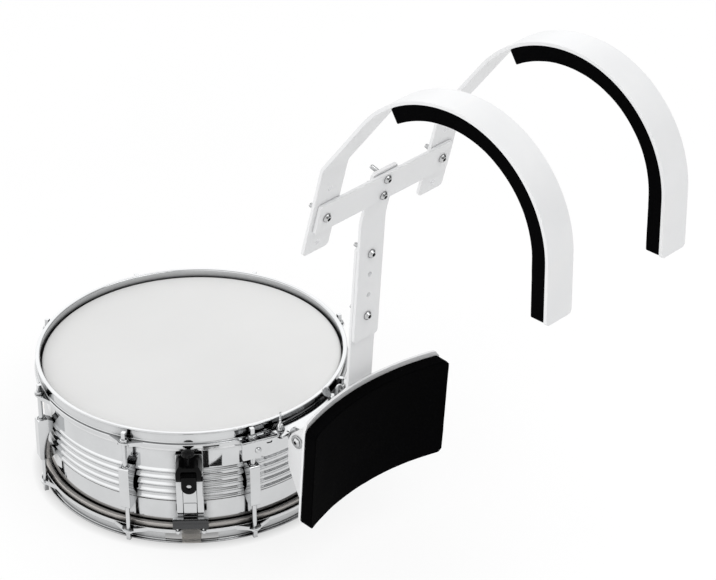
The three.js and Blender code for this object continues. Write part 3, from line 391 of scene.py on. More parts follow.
def rod_form(profile, steps=24, **more):
    """A turned solid, from its lower middle to its upper middle."""
    return lathe([(0, profile[0][1]), *profile, (0, profile[-1][1])], steps, loop=False, **more)


def prism(outline, low, high, axis="z", easing=0.0, segments=2):
    form, place = bmesh.new(), PLACES[axis]
    if low > high:
        low, high = high, low
    lower = [form.verts.new(place(u, v, low)) for u, v in outline]
    upper = [form.verts.new(place(u, v, high)) for u, v in outline]
    form.faces.new(lower)
    form.faces.new(upper[::-1])
    for i, vert in enumerate(lower):
        j = (i + 1) % len(lower)
        form.faces.new((vert, lower[j], upper[j], upper[i]))
    bmesh.ops.recalc_face_normals(form, faces=form.faces)
    return ease(form, easing, segments) if easing else form


def block(x0, x1, y0, y1, z0, z1, easing=0.0, corner=0.0):
    return prism(soften(box_outline(x0, x1, y0, y1), corner), z0, z1, "z", easing)


def ease(form, width, segments=2, angle=32):
    edges = [e for e in form.edges if len(e.link_faces) == 2 and e.calc_face_angle(0) > math.radians(angle)]
    bmesh.ops.bevel(form, geom=edges, offset=width, segments=segments, profile=0.5, affect="EDGES",
                    clamp_overlap=True)
    return form


def moved(form, matrix):
    bmesh.ops.transform(form, matrix=matrix, verts=form.verts)
    if matrix.to_3x3().determinant() < 0:
        bmesh.ops.reverse_faces(form, faces=form.faces)
    return form


def shift(form, x=0.0, y=0.0, z=0.0):
    return moved(form, Matrix.Translation((x, y, z)))


def turned(form, degrees, axis="Z"):
    return moved(form, Matrix.Rotation(math.radians(degrees), 4, axis))


def lying_x(form):
    return turned(form, 90, "Y")


def lying_y(form):
    return turned(form, -90, "X")


def joined(*forms):
    mesh, total = bpy.data.meshes.new("joining"), bmesh.new()
    for form in forms:
        form.to_mesh(mesh)
        total.from_mesh(mesh)
        form.free()
    bpy.data.meshes.remove(mesh)
    return total


def as_object(name, form, finish=None):
    mesh = bpy.data.meshes.new(name)
    form.to_mesh(mesh)
    form.free()
    if finish:
        mesh.materials.append(finish)
    made = bpy.data.objects.new(name, mesh)
    bpy.context.scene.collection.objects.link(made)
    return made


def combined(form, tool, operation="DIFFERENCE"):
    """The form cut by another, which may hold several separate bodies."""
    body, other = as_object("work", form), as_object("work", tool)
    change = body.modifiers.new("cut", "BOOLEAN")
    change.object, change.operation, change.solver = other, operation, "EXACT"
    graph = bpy.context.evaluated_depsgraph_get()
    mesh = bpy.data.meshes.new_from_object(body.evaluated_get(graph))
    made = bmesh.new()
    made.from_mesh(mesh)
    for old in (body, other):
        data = old.data
        bpy.data.objects.remove(old)
        bpy.data.meshes.remove(data)
    bpy.data.meshes.remove(mesh)
    bmesh.ops.remove_doubles(made, verts=made.verts, dist=1e-3)
    return made


def rounded_block(outline, low, high, axis, easing, holes=None, segments=2):
    """A plate with its holes cut first and all its edges then eased."""
    form = prism(outline, low, high, axis)
    if holes is not None:
        form = combined(form, holes)
    return ease(form, easing, segments)


def piece(name, form, finish, body, nodes, place=None, sharp=40, wobble=0.0):
    """The form as an object in metres on a body, standing for the nodes it replaces."""
    if place is not None:
        moved(form, place)
    for edge in form.edges:
        edge.smooth = len(edge.link_faces) == 2 and edge.calc_face_angle(0) < math.radians(sharp)
    for face in form.faces:
        face.smooth = True
    if wobble:
        form.normal_update()
        for vert in form.verts:
            vert.co += vert.normal * wobble * (noise.noise(vert.co * 0.03) + 0.4 * noise.noise(vert.co * 0.11))
    made = as_object(name, moved(form, TO_ROW), finish)
    even = made.modifiers.new("even_normals", "WEIGHTED_NORMAL")
    even.keep_sharp = True
    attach(made, body)
    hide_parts(*nodes)
    return made


def round_z(degrees):
    return Matrix.Rotation(math.radians(degrees), 4, "Z")


def facing_out(x, y, z):
    """Place of a screw whose head looks out of the drum."""
    return Matrix.Translation((x, y, z)) @ Matrix.Rotation(math.pi / 2, 4, "Y")


# Drum shell, heads and hoops
def shell():
    pitch, half_width, rise = 9.7, 3.8, 1.9
    centres = [HEIGHT / 2 + (i - 2) * pitch for i in range(5)]

    def swell(z):
        nearest = min(abs(z - c) for c in centres)
        return rise * math.cos(math.pi * nearest / (2 * half_width)) ** 2 if nearest < half_width else 0.0

    heights = [10.6, 20, 40, 52]
    heights += [53.0 + k * 0.8 for k in range(60)]
    heights += [101.6, 115, 130, 143.1]
    outer = [(RADIUS + swell(z), z) for z in heights]
    inner = [(RADIUS - WALL + swell(z), z) for z in reversed(heights)]
    top = [(RADIUS - 0.6, 144.1), (RADIUS - 2.2, 144.2), (RADIUS - 7.2, 139.2), (RADIUS - 7.2, 138.4),
           (RADIUS - 2.2, 142.6)]
    low = [(r, HEIGHT - z) for r, z in reversed(top)]
    piece("shell_skin", lathe(outer + top + inner + low, 192), CHROME, "drum", ["shell"])


def vent():
    tube = soften([(3.5, 176.2), (5.0, 176.2), (5.0, SEAT), (7.5, SEAT), (7.3, SEAT + 1.0), (3.5, SEAT + 1.1)], 0.4)
    piece("vent_ring", lying_x(lathe(tube, 48)), BRASS, "drum", ["vent_grommet"],
          round_z(VENT) @ Matrix.Translation((0, 0, HEIGHT / 2)))


def head_profile():
    inner = RADIUS + 0.3
    depths = [(0, FILM), (inner - 2, FILM), (inner - 0.5, FILM + 0.6), (inner, 2.5), (inner, 14.5),
              (inner + FILM, 14.5), (inner + FILM, 2.2), (inner + 0.25, 1.0), (inner - 0.7, 0.2), (inner - 2.2, 0),
              (0, 0)]
    return [(r, HEAD_TOP - depth) for r, depth in depths]


def heads():
    piece("batter_film", lathe(head_profile(), 192, loop=False), COATED, "drum", ["batter_head"])
    low = [(r, HEIGHT - z) for r, z in head_profile()]
    piece("snare_film", lathe(low, 192, loop=False), CLEAR, "drum", ["snare_head"])
    ring = soften(box_outline(179.05, 184.3, 128.1, 136.7), 1.2)
    piece("batter_flesh_ring", lathe(ring, 160), HOOP_METAL, "drum", ["batter_flesh_hoop"])
    ring = [(r, HEIGHT - z) for r, z in ring]
    piece("snare_flesh_ring", lathe(ring, 160), RING_METAL, "drum", ["snare_flesh_hoop"])


def hoop_profile():
    points = [(180, HOOP_FLANGE), (185.9, HOOP_FLANGE), (186.3, 133.8), (187.6, 133.8), (187.7, 139.2),
              (184.2, HOOP_TOP), (182.7, 151.7), (185.8, 152.0), (185.8, HEIGHT), (180.6, HEIGHT)]
    return soften(points, [0.9, 1.2, 0.5, 0.5, 1.6, 1.4, 1.4, 0.8, 0.8, 1.6], 4)


def ear():
    """A hoop's ear for one rod, with a rim turned down along both sides."""
    plan = mirrored([(181.0, -23.5), (186.2, -22.0), (194.0, -7.8), (197.5, -4.2)])
    plate = prism(soften(plan, [0, 3, 3, 3, 3, 3, 3, 0], 4), HOOP_FLANGE, HOOP_TOP, "z", 0.5)
    rim = [(184.6, 21.9), (186.3, 21.4), (194.2, 7.4), (192.8, 6.2)]
    rims = [prism([(x, y * side) for x, y in rim], 134.2, 138.6, "z", 0.35) for side in (-1, 1)]
    return joined(plate, *rims)


def hoop_form():
    ears = [moved(ear(), round_z(angle)) for angle in LUG_ANGLES]
    return lathe(hoop_profile(), 240), joined(*ears)


def gate_tool(angle):
    """What cuts the window for a snare strap out of the lower hoop."""
    return moved(block(176, 185.2, -31, 31, 2.6, 13.3, corner=1.5), round_z(angle))


def hoops():
    ring, ears = hoop_form()
    piece("batter_rim", joined(ring, ears), CHROME, "drum", ["batter_hoop"])
    ring, ears = hoop_form()
    ring = combined(moved(ring, FLIP), joined(gate_tool(STRAINER), gate_tool(BUTT)))
    piece("snare_rim", joined(ring, moved(ears, FLIP)), CHROME, "drum", ["snare_hoop"])


# Lugs, rods and their nuts
def thread(radius, low, high, steps, pitch, depth):
    points, z = [], low
    while z < high - pitch:
        points += [(radius - depth, z), (radius, z + pitch * 0.5)]
        z += pitch
    return rod_form([(radius - depth, low - 0.01), *points[1:], (radius - depth, high)], steps)


def tension_rod(lift):
    """Square-headed rod with its washer, raised where a bracket lies under it."""
    seat, body_end = ROD_SEAT + lift, 88.0
    washer = soften([(3.0, seat), (5.5, seat), (5.5, seat + 0.9), (3.0, seat + 0.9)], 0.35)
    collar = soften([(0.5, seat + 0.9), (4.9, seat + 0.9), (4.7, seat + 2.3), (3.4, seat + 2.9),
                     (0.5, seat + 2.9)], 0.4)
    drive = prism(soften(box_outline(-2.5, 2.5, -2.5, 2.5), 0.5), seat + 2.6, seat + 11.6, "z", 0.5)
    shank = rod_form([(2.55, body_end), (2.75, body_end + 0.6), (2.75, seat + 1)], 24)
    return joined(lathe(washer, 40), lathe(collar, 40), drive, shank)


def lug():
    """Bridge lug: two feet on the shell, a hollow between them and a socket at each end."""
    low, high, face = 49.3, 104.4, 198.0
    hollow_top, hollow_low, hollow_depth, steps = 92.1, 61.6, 186.5 - SEAT, 8
    foot = [(SEAT, 100.4), (SEAT, hollow_top)]
    hollow = []
    for t in (k / steps for k in range(steps + 1)):
        hollow.append((SEAT + hollow_depth * 4 * t * (1 - t), hollow_top * (1 - t) + hollow_low * t))
    side = [(185.2, low), (196.2, low), (face, low + 1.8), (face, high - 1.8), (196.2, high), (185.2, high)]
    side = soften(side, [0.8, 1.5, 2.0, 2.0, 1.5, 0.8], 3)
    outline = side + [foot[0]] + hollow + [(SEAT, 53.3)]
    body = prism(outline, -6.25, 6.25, "y")
    sockets = [shift(rod_form([(4.9, z0), (4.9, z1)], 32), ROD_CIRCLE) for z0, z1 in ((96, 110), (44, 57.7))]
    return ease(combined(body, joined(*sockets)), 1.0, 3, 40)


def swivel_nut(top):
    ring = soften([(2.9, top - 6), (4.4, top - 6), (4.4, top + 0.8), (4.0, top + 1.3), (2.9, top + 1.3)], 0.3)
    return shift(lathe(ring, 32), ROD_CIRCLE)


def lug_sets():
    nut_top, bracket_lift = 103.6, 2.8
    screw = soften([(4.4, 173.8), (4.4, 175.4), (1.9, 175.9), (1.9, 184)], 0.6, closed=False)
    for k, angle in enumerate(LUG_ANGLES, 1):
        place = round_z(angle)
        lower_rod = shift(moved(tension_rod(0), FLIP), ROD_CIRCLE)
        inside = [shift(lying_x(rod_form(screw, 20)), z=z) for z in LUG_SCREWS]
        nuts = [swivel_nut(nut_top), moved(swivel_nut(nut_top), FLIP)]
        piece(f"lug_casting_{k}", joined(lug(), lower_rod, *inside, *nuts), CHROME, "drum", [f"lug_{k}"], place)
        bracketed = abs(angle - PLAYER) < LUG_STEP
        rod = shift(tension_rod(bracket_lift if bracketed else 0), ROD_CIRCLE)
        piece(f"key_rod_{k}", rod, CHROME, "drum", [f"batter_rod_{k}"], place)


# Strainer, drawn with X out of the drum
def pan_screw(length, height):
    """Slotted screw along Z: the head's top at zero, the shank below."""
    radius, head = 1.8, 2.9
    crown = rod_form(soften([(radius, -height - 0.01), (head, -height), (head, -height * 0.45), (head * 0.55, 0)],
                            [0, 0.3, 1.0, 0.8], 4), 28)
    crown = combined(crown, prism(box_outline(-head, head, -0.4, 0.4), -0.9, 1.0, "z"))
    return joined(crown, thread(radius, -height - length, -height, 16, 0.7, 0.18))


def inner_screw(y, z):
    """Mounting screw with its head inside the shell."""
    return shift(lying_x(rod_form([(4.4, 173.8), (4.4, 175.6), (1.9, 176), (1.9, SEAT + 1)], 20)), 0, y, z)


def strainer():
    place = round_z(STRAINER)
    strainer_channel(place)
    strainer_housing(place)
    throw_lever(place)
    thumb_wheel(place)
    strainer_slide(place)
    strap_piece("strap_front", "snare_slide", "snare_strap_front", STRAINER)


def strainer_channel(place):
    plate = prism(soften(box_outline(-15.8, 15.8, 36, 122), 2.0), SEAT, SEAT + 2.4, "x", 0.5)
    channel = [(SEAT + 1.5, 13.9), (188.4, 13.9), (188.4, 8.3), (190, 8.3), (190, 15.8), (SEAT + 1.5, 15.8)]
    sides = [prism(soften([(x, y * s) for x, y in channel], [0, 0, 0.4, 0.4, 1.2, 0], 3), 38, 90, "z", 0.35)
             for s in (-1, 1)]
    inside = [inner_screw(0, z) for z in LUG_SCREWS]
    piece("strainer_channel", joined(plate, *sides, *inside), CHROME, "drum", ["strainer_base"], place)


def strainer_housing(place):
    front = soften([(-10.8, 120), (-13.4, 116), (-15.1, 111.5), (-15.1, 105), (-14, 97), (14, 97), (15.1, 105),
                    (15.1, 111.5), (13.4, 116), (10.8, 120), (6.5, 117.4), (-6.5, 117.4)],
                   [0.9, 2, 3, 4, 1.5, 1.5, 4, 3, 2, 0.9, 2, 2], 3)
    side = soften([(181.84, 97), (201, 97), (204, 101), (204, 115), (202.4, 120), (190, 119.4), (181.84, 118)],
                  [0, 1.5, 3, 3, 2, 2, 0], 4)
    body = combined(prism(front, 178, 207, "x"), prism(side, -18, 18, "y"), "INTERSECT")
    slot = prism(soften(box_outline(-9.3, 9.3, 92, 113), [0, 0, 2.5, 2.5], 3), 185.5, 208, "x")
    pin_hole = shift(lying_y(rod_form([(1.95, -20), (1.95, 20)], 20)), *AXLE)
    body = ease(combined(body, joined(slot, pin_hole)), 0.7, 3, 38)
    piece("strainer_body", body, BLACK, "drum", ["strainer_housing"], place)
    pin = rod_form(soften([(1.2, -16.2), (1.6, -15.8), (1.6, 15.8), (1.2, 16.2)], 0.2, closed=False), 20)
    piece("lever_axle", shift(lying_y(pin), *AXLE), BOLT, "drum", ["lever_pin"], place)


def throw_lever(place):
    tongue = [(-9, 104.2)] + arc(0, 90.6, 9, 180, 360, 18) + [(9, 104.2)]
    tongue = soften(tongue, [1.5] + [0] * 19 + [1.5], 3)
    eye = shift(lying_x(rod_form([(3.0, 190), (3.0, 210)], 28)), z=91.4)
    plate = ease(combined(prism(tongue, 199.6, 203.8, "x"), eye), 1.0, 3, 40)
    half = 8.8
    hub = soften([(4.6, -half), (4.8, 0.4 - half), (4.8, half - 0.4), (4.6, half)], 0.2, closed=False)
    hub = shift(lying_y(rod_form(hub, 32)), *AXLE)
    neck = prism([(194, 97.6), (200.5, 97.6), (201.5, 99.5), (201.5, 103.6), (199.5, 104.6), (194, 106.4)],
                 -half, half, "y", 0.5)
    piece("throw_off_lever", joined(plate, hub, neck), BLACK, "throw_lever", ["throw_lever"], place)


def thumb_wheel(place):
    knob = [(2.0, 117), (2.0, 118.4), (2.6, 118.5), (2.6, 127.2), (4.4, 129.4), (7.3, 132.2), (7.7, 133.4),
            (7.5, 135.0), (6.0, 136.6), (3.0, 137.2)]
    knob = shift(rod_form(knob, 72, flutes=12, depth=0.045), 197.5)
    piece("tension_thumbwheel", knob, BLACK, "tension_knob", ["tension_knob"], place)


def strainer_slide(place):
    half, low_screws = 20.7, 23.0
    tongue = mirrored([(184.6, 13.4), (188.1, 13.4), (188.1, 7.9), (189.5, 7.9)])
    heel = prism(tongue, 39, 86, "z", 0.3)
    step = prism(soften(box_outline(-7.4, 7.4, 43, 60), 1.2), 189.4, 190.2, "x", 0.25)
    neck = block(184.6, JAW_FACE, -7.9, 7.9, JAW_LOW, JAW_HIGH, 0.3)
    jaw = prism(soften(box_outline(-half, half, JAW_LOW, JAW_HIGH), 0.8), JAW_FACE - 5, JAW_FACE, "x", 0.4)
    piece("strainer_runner", joined(heel, step, neck, jaw), CHROME, "snare_slide", ["strainer_slide"], place)
    outer = [(OUTER_JAW, JAW_LOW), (200.6, JAW_LOW), (201.1, 32), (200.2, 37.5), (198.4, JAW_HIGH),
             (OUTER_JAW, JAW_HIGH)]
    outer = prism(soften(outer, [0.3, 0.5, 1.2, 3, 0.8, 0.3], 4), -half, half, "y", 0.5, 3)
    hanging = [shift(turned(pan_screw(3.2, 5.2), 180, "X"), 198.75, y, low_screws) for y in (-15, 15)]
    piece("strainer_jaw", outer, DARK_STEEL, "snare_slide", ["strainer_clamp"], place)
    piece("strainer_jaw_screws", joined(*hanging), CHROME, "snare_slide", ["strainer_clamp"], place)


def strap_piece(name, body, node_name, angle):
    """Plastic strip from the snares' end plate out through the gate and up between the jaws."""
    path = bent_path((STRAP_START, STRAP_LEVEL), 0, [
        ("line", STRAP_FACE - STRAP_START - STRAP_BEND), ("arc", STRAP_BEND, 90),
        ("line", JAW_HIGH - STRAP_LEVEL - STRAP_BEND)], 10)
    outline = [tuple(p) for p in path] + [tuple(p) for p in reversed(beside(path, STRAP_THICK))]
    piece(name, prism(outline, -STRAP_HALF, STRAP_HALF, "y"), STRAP, body, [node_name], round_z(angle))


def butt():
    place = round_z(BUTT)
    face, half = SEAT + 4.5, 17
    side = soften([(SEAT, 27), (face, 27), (190, JAW_LOW), (JAW_FACE, JAW_LOW), (JAW_FACE, 43), (190, 43),
                   (face, 62), (SEAT, 62)], [0, 0.8, 1.5, 0.8, 0.8, 2, 2, 0], 3)
    inside = [inner_screw(y, LUG_SCREWS[0]) for y in (-9, 9)]
    body = prism(side, -half, half, "y", 0.6)
    piece("butt_casting", joined(body, *inside), CHROME, "drum", ["butt_plate"], place)
    jaw = prism(soften(box_outline(-half, half, JAW_LOW, JAW_HIGH), 0.8), OUTER_JAW, OUTER_JAW + 4, "x", 0.5)
    screws = [moved(pan_screw(10, 2.6), facing_out(203.0, y, 36)) for y in (-14.3, 14.3)]
    piece("butt_jaw", joined(jaw, *screws), CHROME, "drum", ["butt_clamp"], place)
    strap_piece("strap_rear", "drum", "snare_strap_rear", BUTT)


def snares():
    """Ribbed strands, for the coils' turns, between two end plates."""
    count, pitch, level, turn = 20, 2, 7.6, 1.51
    coil = [(0.75 if k % 2 else 0.55, -154 + k * turn) for k in range(205)]
    strands = [shift(lying_x(rod_form(coil, 6)), 0, (i - (count - 1) / 2) * pitch, level) for i in range(count)]
    plates = [block(x, x + 12, -22, 22, 7.0, 8.2, 0.3, 1.5) for x in (-165, 153)]
    piece("snare_strands", joined(*strands, *plates), STEEL, "snares", ["snare_wires"], round_z(BUTT), sharp=80)


# Brackets, yoke and wing screws
def drum_bracket(name, side):
    place = round_z(PLAYER - side * LUG_STEP / 2) @ Matrix.Diagonal((1, side, 1, 1))
    plan = [(188, -16), (201, -16)] + arc(SCREW_OUT, SCREW_ACROSS, 6.5, 0, 180, 16)
    rod_hole = shift(rod_form([(3.35, 130), (3.35, 150)], 24), ROD_CIRCLE)
    top = rounded_block(plan, 139.7, 142.2, "z", 0.45, rod_hole)
    side_view = soften([(-16, 118), (6, 118), (27, 133), (27, 142.2), (-16, 142.2)], [2.5, 3, 3, 0.5, 0.5], 3)
    slot = prism(soften(box_outline(14.0, 21.0, 134.5, 138.2), 1.7, 4), 195, 205, "x")
    wall = rounded_block(side_view, 198.5, 201, "x", 0.45, slot)
    weld = shift(rod_form([(5.0, 135.2), (5.0, 140)], 6), SCREW_OUT, SCREW_ACROSS)
    head = [(0.5, -3), (4.0, -3), (4.0, -2.6), (3.4, -0.6), (1.5, 0)]
    bolt_y, bolt_z = 3.5, 128.5
    rivet = rod_form(soften(head, [0, 0, 0.4, 1, 1], 3, closed=False), 32)
    rivet = moved(rivet, facing_out(203.4, bolt_y, bolt_z))
    back = shift(lying_x(rod_form([(4.0, 196.3), (4.0, 199)], 6)), 0, bolt_y, bolt_z)
    piece(f"bracket_{name}", joined(top, wall, weld, rivet, back), CHROME, "drum", [f"drum_bracket_{name}"], place)


def wing_screw(name, side, turn):
    foot = 145.3
    shank = thread(2.6, 133, foot + 0.2, 24, 0.9, 0.22)
    hub = soften([(5.0, foot), (5.0, foot + 1.2), (3.6, foot + 5), (2.6, foot + 6.2)], [0.4, 0.6, 1, 0.8], 3,
                 closed=False)
    wing = [(1.0, 1.2), (3.8, 1.6), (7.5, 5.4), (11.8, 8.6), (13.0, 12.4), (12.2, 16.6), (9.4, 18.8), (5.9, 18.2),
            (3.9, 15.2), (3.2, 10.5), (1.6, 6.2)]
    wings = [prism(soften([(u * s, foot + v) for u, v in wing], 2.2, 3), -1.2, 1.2, "y", 0.55) for s in (-1, 1)]
    place = Matrix.Translation((side * SCREW_X, SCREW_Y, 0)) @ round_z(turn)
    piece(f"butterfly_{name}", joined(shank, rod_form(hub, 32), *wings), CHROME, f"wing_screw_{name}",
          [f"wing_screw_{name}"], place)


def tilt_hole():
    return lying_x(rod_form([(3.3, -60), (3.3, 60)], 24))


def yoke():
    inner, outer = 39.2, 41.7
    plan = [(-52, -184), (-52, -205), (-outer, -205), (-outer, -213), (outer, -213), (outer, -205), (52, -205),
            (52, -184)]
    plan = soften(plan, [2, 2, 1.5, 0.5, 0.5, 1.5, 2, 2], 3)
    holes = joined(*[shift(rod_form([(3.2, 135), (3.2, 150)], 24), s * SCREW_X, SCREW_Y) for s in (-1, 1)])
    plate = rounded_block(plan, 142.5, 145.0, "z", 0.5, holes)
    ear_side = [(-200, 145), (-206.4, 145), (-206.4, 150), (-214.4, 158), (-228, 158), (-236, 150), (-236, 136),
                (-228, 128), (-214.4, 128), (-200, 140)]
    ear_side = soften(ear_side, [0.5, 2, 4, 5, 5, 5, 5, 5, 5, 0.5], 4)
    ears = [rounded_block(ear_side, s * inner, s * outer, "x", 0.45, shift(tilt_hole(), *TILT)) for s in (-1, 1)]
    piece("yoke_plate", joined(plate, *ears), CHROME, "drum", ["tilt_yoke"])


def socket_head(radius, height, socket):
    """Button head along Z with its seat at zero and a six-sided recess in its crown."""
    crown = rod_form(soften([(radius * 0.6, -0.01), (radius, 0), (radius, height * 0.3), (radius * 0.62, height)],
                            [0, 0.3, radius * 0.5, radius * 0.3], 5, closed=False), 36)
    return combined(crown, rod_form([(socket, height * 0.35), (socket, height + 2)], 6))


def hex_nut(radius, height):
    nut = rod_form([(radius * 0.9, 0), (radius, height * 0.12), (radius, height * 0.88), (radius * 0.9, height)], 6)
    return ease(nut, 0.25, 2, 20)


def washer(radius, bore, height):
    return lathe(soften([(bore, 0), (radius, 0), (radius, height), (bore, height)], 0.3), 40)


def tilt_bolts():
    for name, turn in (("left", 180), ("right", 0)):
        rod = rod_form([(2.95, 32), (2.95, 47)], 24)
        parts = [rod, shift(hex_nut(6.0, 4.2), z=34.6), shift(washer(8.5, 3.1, 1.2), z=45.3),
                 shift(socket_head(5.4, 2.6, 2.4), z=46.5)]
        form = turned(lying_x(joined(*parts)), turn)
        piece(f"tilt_fastener_{name}", form, BOLT, "carrier", [f"tilt_bolt_{name}"], CARRIER)


# Carrier
def curved_slab(outer, inner, half, low, high, corner, across=44, rows=14):
    """Slab bowed round the player, as a grid so that its faces stay even."""
    centre = BELLY_BACK - BELLY_RADIUS
    form, layers = bmesh.new(), []
    for radius in (outer, inner):
        grid = []
        for i in range(across + 1):
            column, x = [], -half + 2 * half * i / across
            edge = half - abs(x)
            rounded = corner - math.sqrt(max(corner ** 2 - (corner - edge) ** 2, 0)) if edge < corner else 0
            for k in range(rows + 1):
                z = low + rounded + (high - low - 2 * rounded) * k / rows
                column.append(form.verts.new((x, centre + math.sqrt(radius ** 2 - x * x), z)))
            grid.append(column)
        layers.append(grid)
    front, back = layers
    for i in range(across):
        for k in range(rows):
            form.faces.new((front[i][k], front[i + 1][k], front[i + 1][k + 1], front[i][k + 1]))
            form.faces.new((back[i][k], back[i][k + 1], back[i + 1][k + 1], back[i + 1][k]))
        for k in (0, rows):
            form.faces.new((front[i][k], front[i + 1][k], back[i + 1][k], back[i][k]))
    for k in range(rows):
        for i in (0, across):
            form.faces.new((front[i][k], front[i][k + 1], back[i][k + 1], back[i][k]))
    bmesh.ops.recalc_face_normals(form, faces=form.faces)
    return form


def weld_bead(side):
    """Uneven half-round bead along a wing's outer foot."""
    weld, rings, radius = bmesh.new(), [], 1.6
    for z in range(-38, 70, 4):
        swelling = radius * (1.0 + 0.25 * math.sin(z * 1.7))
        angles = [math.radians(t) for t in range(0, 181, 30)]
        rings.append([weld.verts.new((side * (WING_OUTER + swelling * math.cos(a)),
                                      WING_ROOT + swelling * math.sin(a), z)) for a in angles])
    for a, b in zip(rings, rings[1:]):
        for i in range(len(a) - 1):
            weld.faces.new((a[i], a[i + 1], b[i + 1], b[i]))
    bmesh.ops.recalc_face_normals(weld, faces=weld.faces)
    return weld


def belly_plate():
    plate = curved_slab(BELLY_RADIUS, BELLY_FACE, 109.5, -45.8, 92.7, 8)
    sinks = [shift(lying_y(rod_form([(radius, -60), (radius, end)], steps)), z=z)
             for z in PLATE_BOLTS for radius, end, steps in ((3.2, -40, 24), (5.7, -50.2, 28))]
    parts = [ease(combined(plate, joined(*sinks)), 0.7, 2, 45)]
    rear = WING_ROOT - 1.5
    profile = soften([(rear, -41), (-8.5, -78.6), (-5.8, -75.4), (13.2, -39.9), (15.1, 0.8), (rear, 71.4)],
                     [0, 5, 5, 8, 12, 0], 5)
    for s in (-1, 1):
        parts += [rounded_block(profile, s * WING_INNER, s * WING_OUTER, "x", 0.6, tilt_hole()), weld_bead(s)]
    piece("belly_shield", joined(*parts), WHITE, "carrier", ["belly_plate"], CARRIER)


def belly_pad():
    slab = curved_slab(BELLY_FACE - BAR_GAP, 322.1, 109, -43.8, 87.2, 5, 56, 34)
    slab = ease(slab, 1.5, 3, 45)
    bmesh.ops.triangulate(slab, faces=[f for f in slab.faces if len(f.verts) > 4])
    pad = piece("belly_foam", slab, FOAM, "carrier", ["belly_pad"], CARRIER, sharp=60, wobble=0.35)


def hole_tool(x, z, y=0):
    return shift(lying_y(rod_form([(3.2, -30), (3.2, 30)], 28)), x, y, z)


def lower_bar():
    back, front = -49.0, -45.0
    outline = soften(box_outline(-BAR_HALF, BAR_HALF, -18, 276), 4.0, 5)
    holes = joined(*[hole_tool(0, z, (back + front) / 2) for z in (*PLATE_BOLTS, *HEIGHT_HOLES)])
    form = rounded_block(outline, back, front, "y", BAR_EASE, holes, 3)
    piece("lower_strut", form, WHITE, "carrier", ["lower_bar"], CARRIER)


def bent_strip(points, near, far, half, corner=0.0):
    """A flat bar that follows a side path, with its ends' corners rounded."""
    first, last = beside(points, near), beside(points, far)
    walked = [0.0]
    for a, b in zip(points, points[1:]):
        walked.append(walked[-1] + (b - a).length)
    total = walked[-1]

    def width(at):
        gap = min(at, total - at)
        return half - corner + math.sqrt(max(corner ** 2 - (corner - gap) ** 2, 0)) if gap < corner else half

    form, rings = bmesh.new(), []
    for a, b, at in zip(first, last, walked):
        w = width(at)
        rings.append([form.verts.new((x, *p)) for p, x in ((a, -w), (a, w), (b, w), (b, -w))])
    for r, s in zip(rings, rings[1:]):
        for i in range(4):
            j = (i + 1) % 4
            form.faces.new((r[i], r[j], s[j], s[i]))
    form.faces.new(rings[0])
    form.faces.new(rings[-1][::-1])
    bmesh.ops.recalc_face_normals(form, faces=form.faces)
    return form


def filled(points, spacing):
    """The same path with more points along its straights."""
    made = [points[0]]
    for a, b in zip(points, points[1:]):
        count = max(1, round((b - a).length / spacing))
        made += [a + (b - a) * (k / count) for k in range(1, count + 1)]
    return made


def end_steps(points, corner):
    """Adds close points near both ends, where the corners turn."""
    first, last = points[0], points[-1]
    inward, back = (points[1] - first).normalized(), (points[-2] - last).normalized()
    steps = [corner * t for t in (0.0, 0.08, 0.25, 0.55, 1.0)]
    start = [first + inward * s for s in steps]
    end = [last + back * s for s in reversed(steps)]
    middle = [p for p in points[1:-1] if (p - first).length > corner * 1.3 and (p - last).length > corner * 1.3]
    return start + middle + end


def upper_bar():
    corner = 4.0
    path = bent_path((UPPER_BACK, 152), 90, [("line", 153.4), ("arc", 53.0, BEND), ("line", 65.5)], 1.8)
    form = bent_strip(end_steps(path, corner), 0, -BAR_THICK, BAR_HALF, corner)
    holes = [hole_tool(0, z, -51) for z in HEIGHT_HOLES]
    holes += [moved(hole_tool(0, CROSS_LEVEL + s * CROSS_BOLT), TO_BEND @ BENT) for s in (-1, 1)]
    form = ease(combined(form, joined(*holes)), BAR_EASE, 3, 38)
    piece("upper_strut", form, WHITE, "carrier", ["upper_bar"], CARRIER)


def crossbar():
    outline = soften(box_outline(-103.5, 103.5, CROSS_LEVEL - CROSS_HALF, CROSS_LEVEL + CROSS_HALF), 4.0, 5)
    holes = [hole_tool(0, CROSS_LEVEL + s * CROSS_BOLT) for s in (-1, 1)]
    holes += [hole_tool(s * SHOULDER_X, CROSS_LEVEL) for s in (-1, 1)]
    form = rounded_block(outline, CROSS_BACK, CROSS_BACK + BAR_THICK, "y", BAR_EASE, joined(*holes), 3)
    piece("cross_strut", form, WHITE, "carrier", ["crossbar"], CROSSING)


def shoulder_path():
    """Side path of an arch: foot, a rounded kink, a rise, two radii over the shoulder and a drop."""
    rounding = 5.0
    return bent_path((0, -SHOULDER_FOOT), 90, [
        ("line", SHOULDER_FOOT + SHOULDER_RISE - rounding),
        ("arc", rounding / math.tan(math.radians(KINK / 2)), KINK), ("line", SHOULDER_LENGTH - rounding),
        ("arc", ARCH_RADIUS, ARCH_TURN), ("arc", ARCH_END_RADIUS, 90), ("line", 66)])


def shoulder_pad_path():
    """The part of the same path that the foam lines."""
    start_turn = 19
    lead = bent_path((0, -SHOULDER_FOOT), 90, [
        ("line", SHOULDER_FOOT + SHOULDER_RISE), ("kink", KINK), ("line", SHOULDER_LENGTH),
        ("arc", ARCH_RADIUS, start_turn)])
    return bent_path(lead[-1], 90 + KINK + start_turn, [
        ("arc", ARCH_RADIUS, ARCH_TURN - start_turn), ("arc", ARCH_END_RADIUS, 90), ("line", 63)], 3)


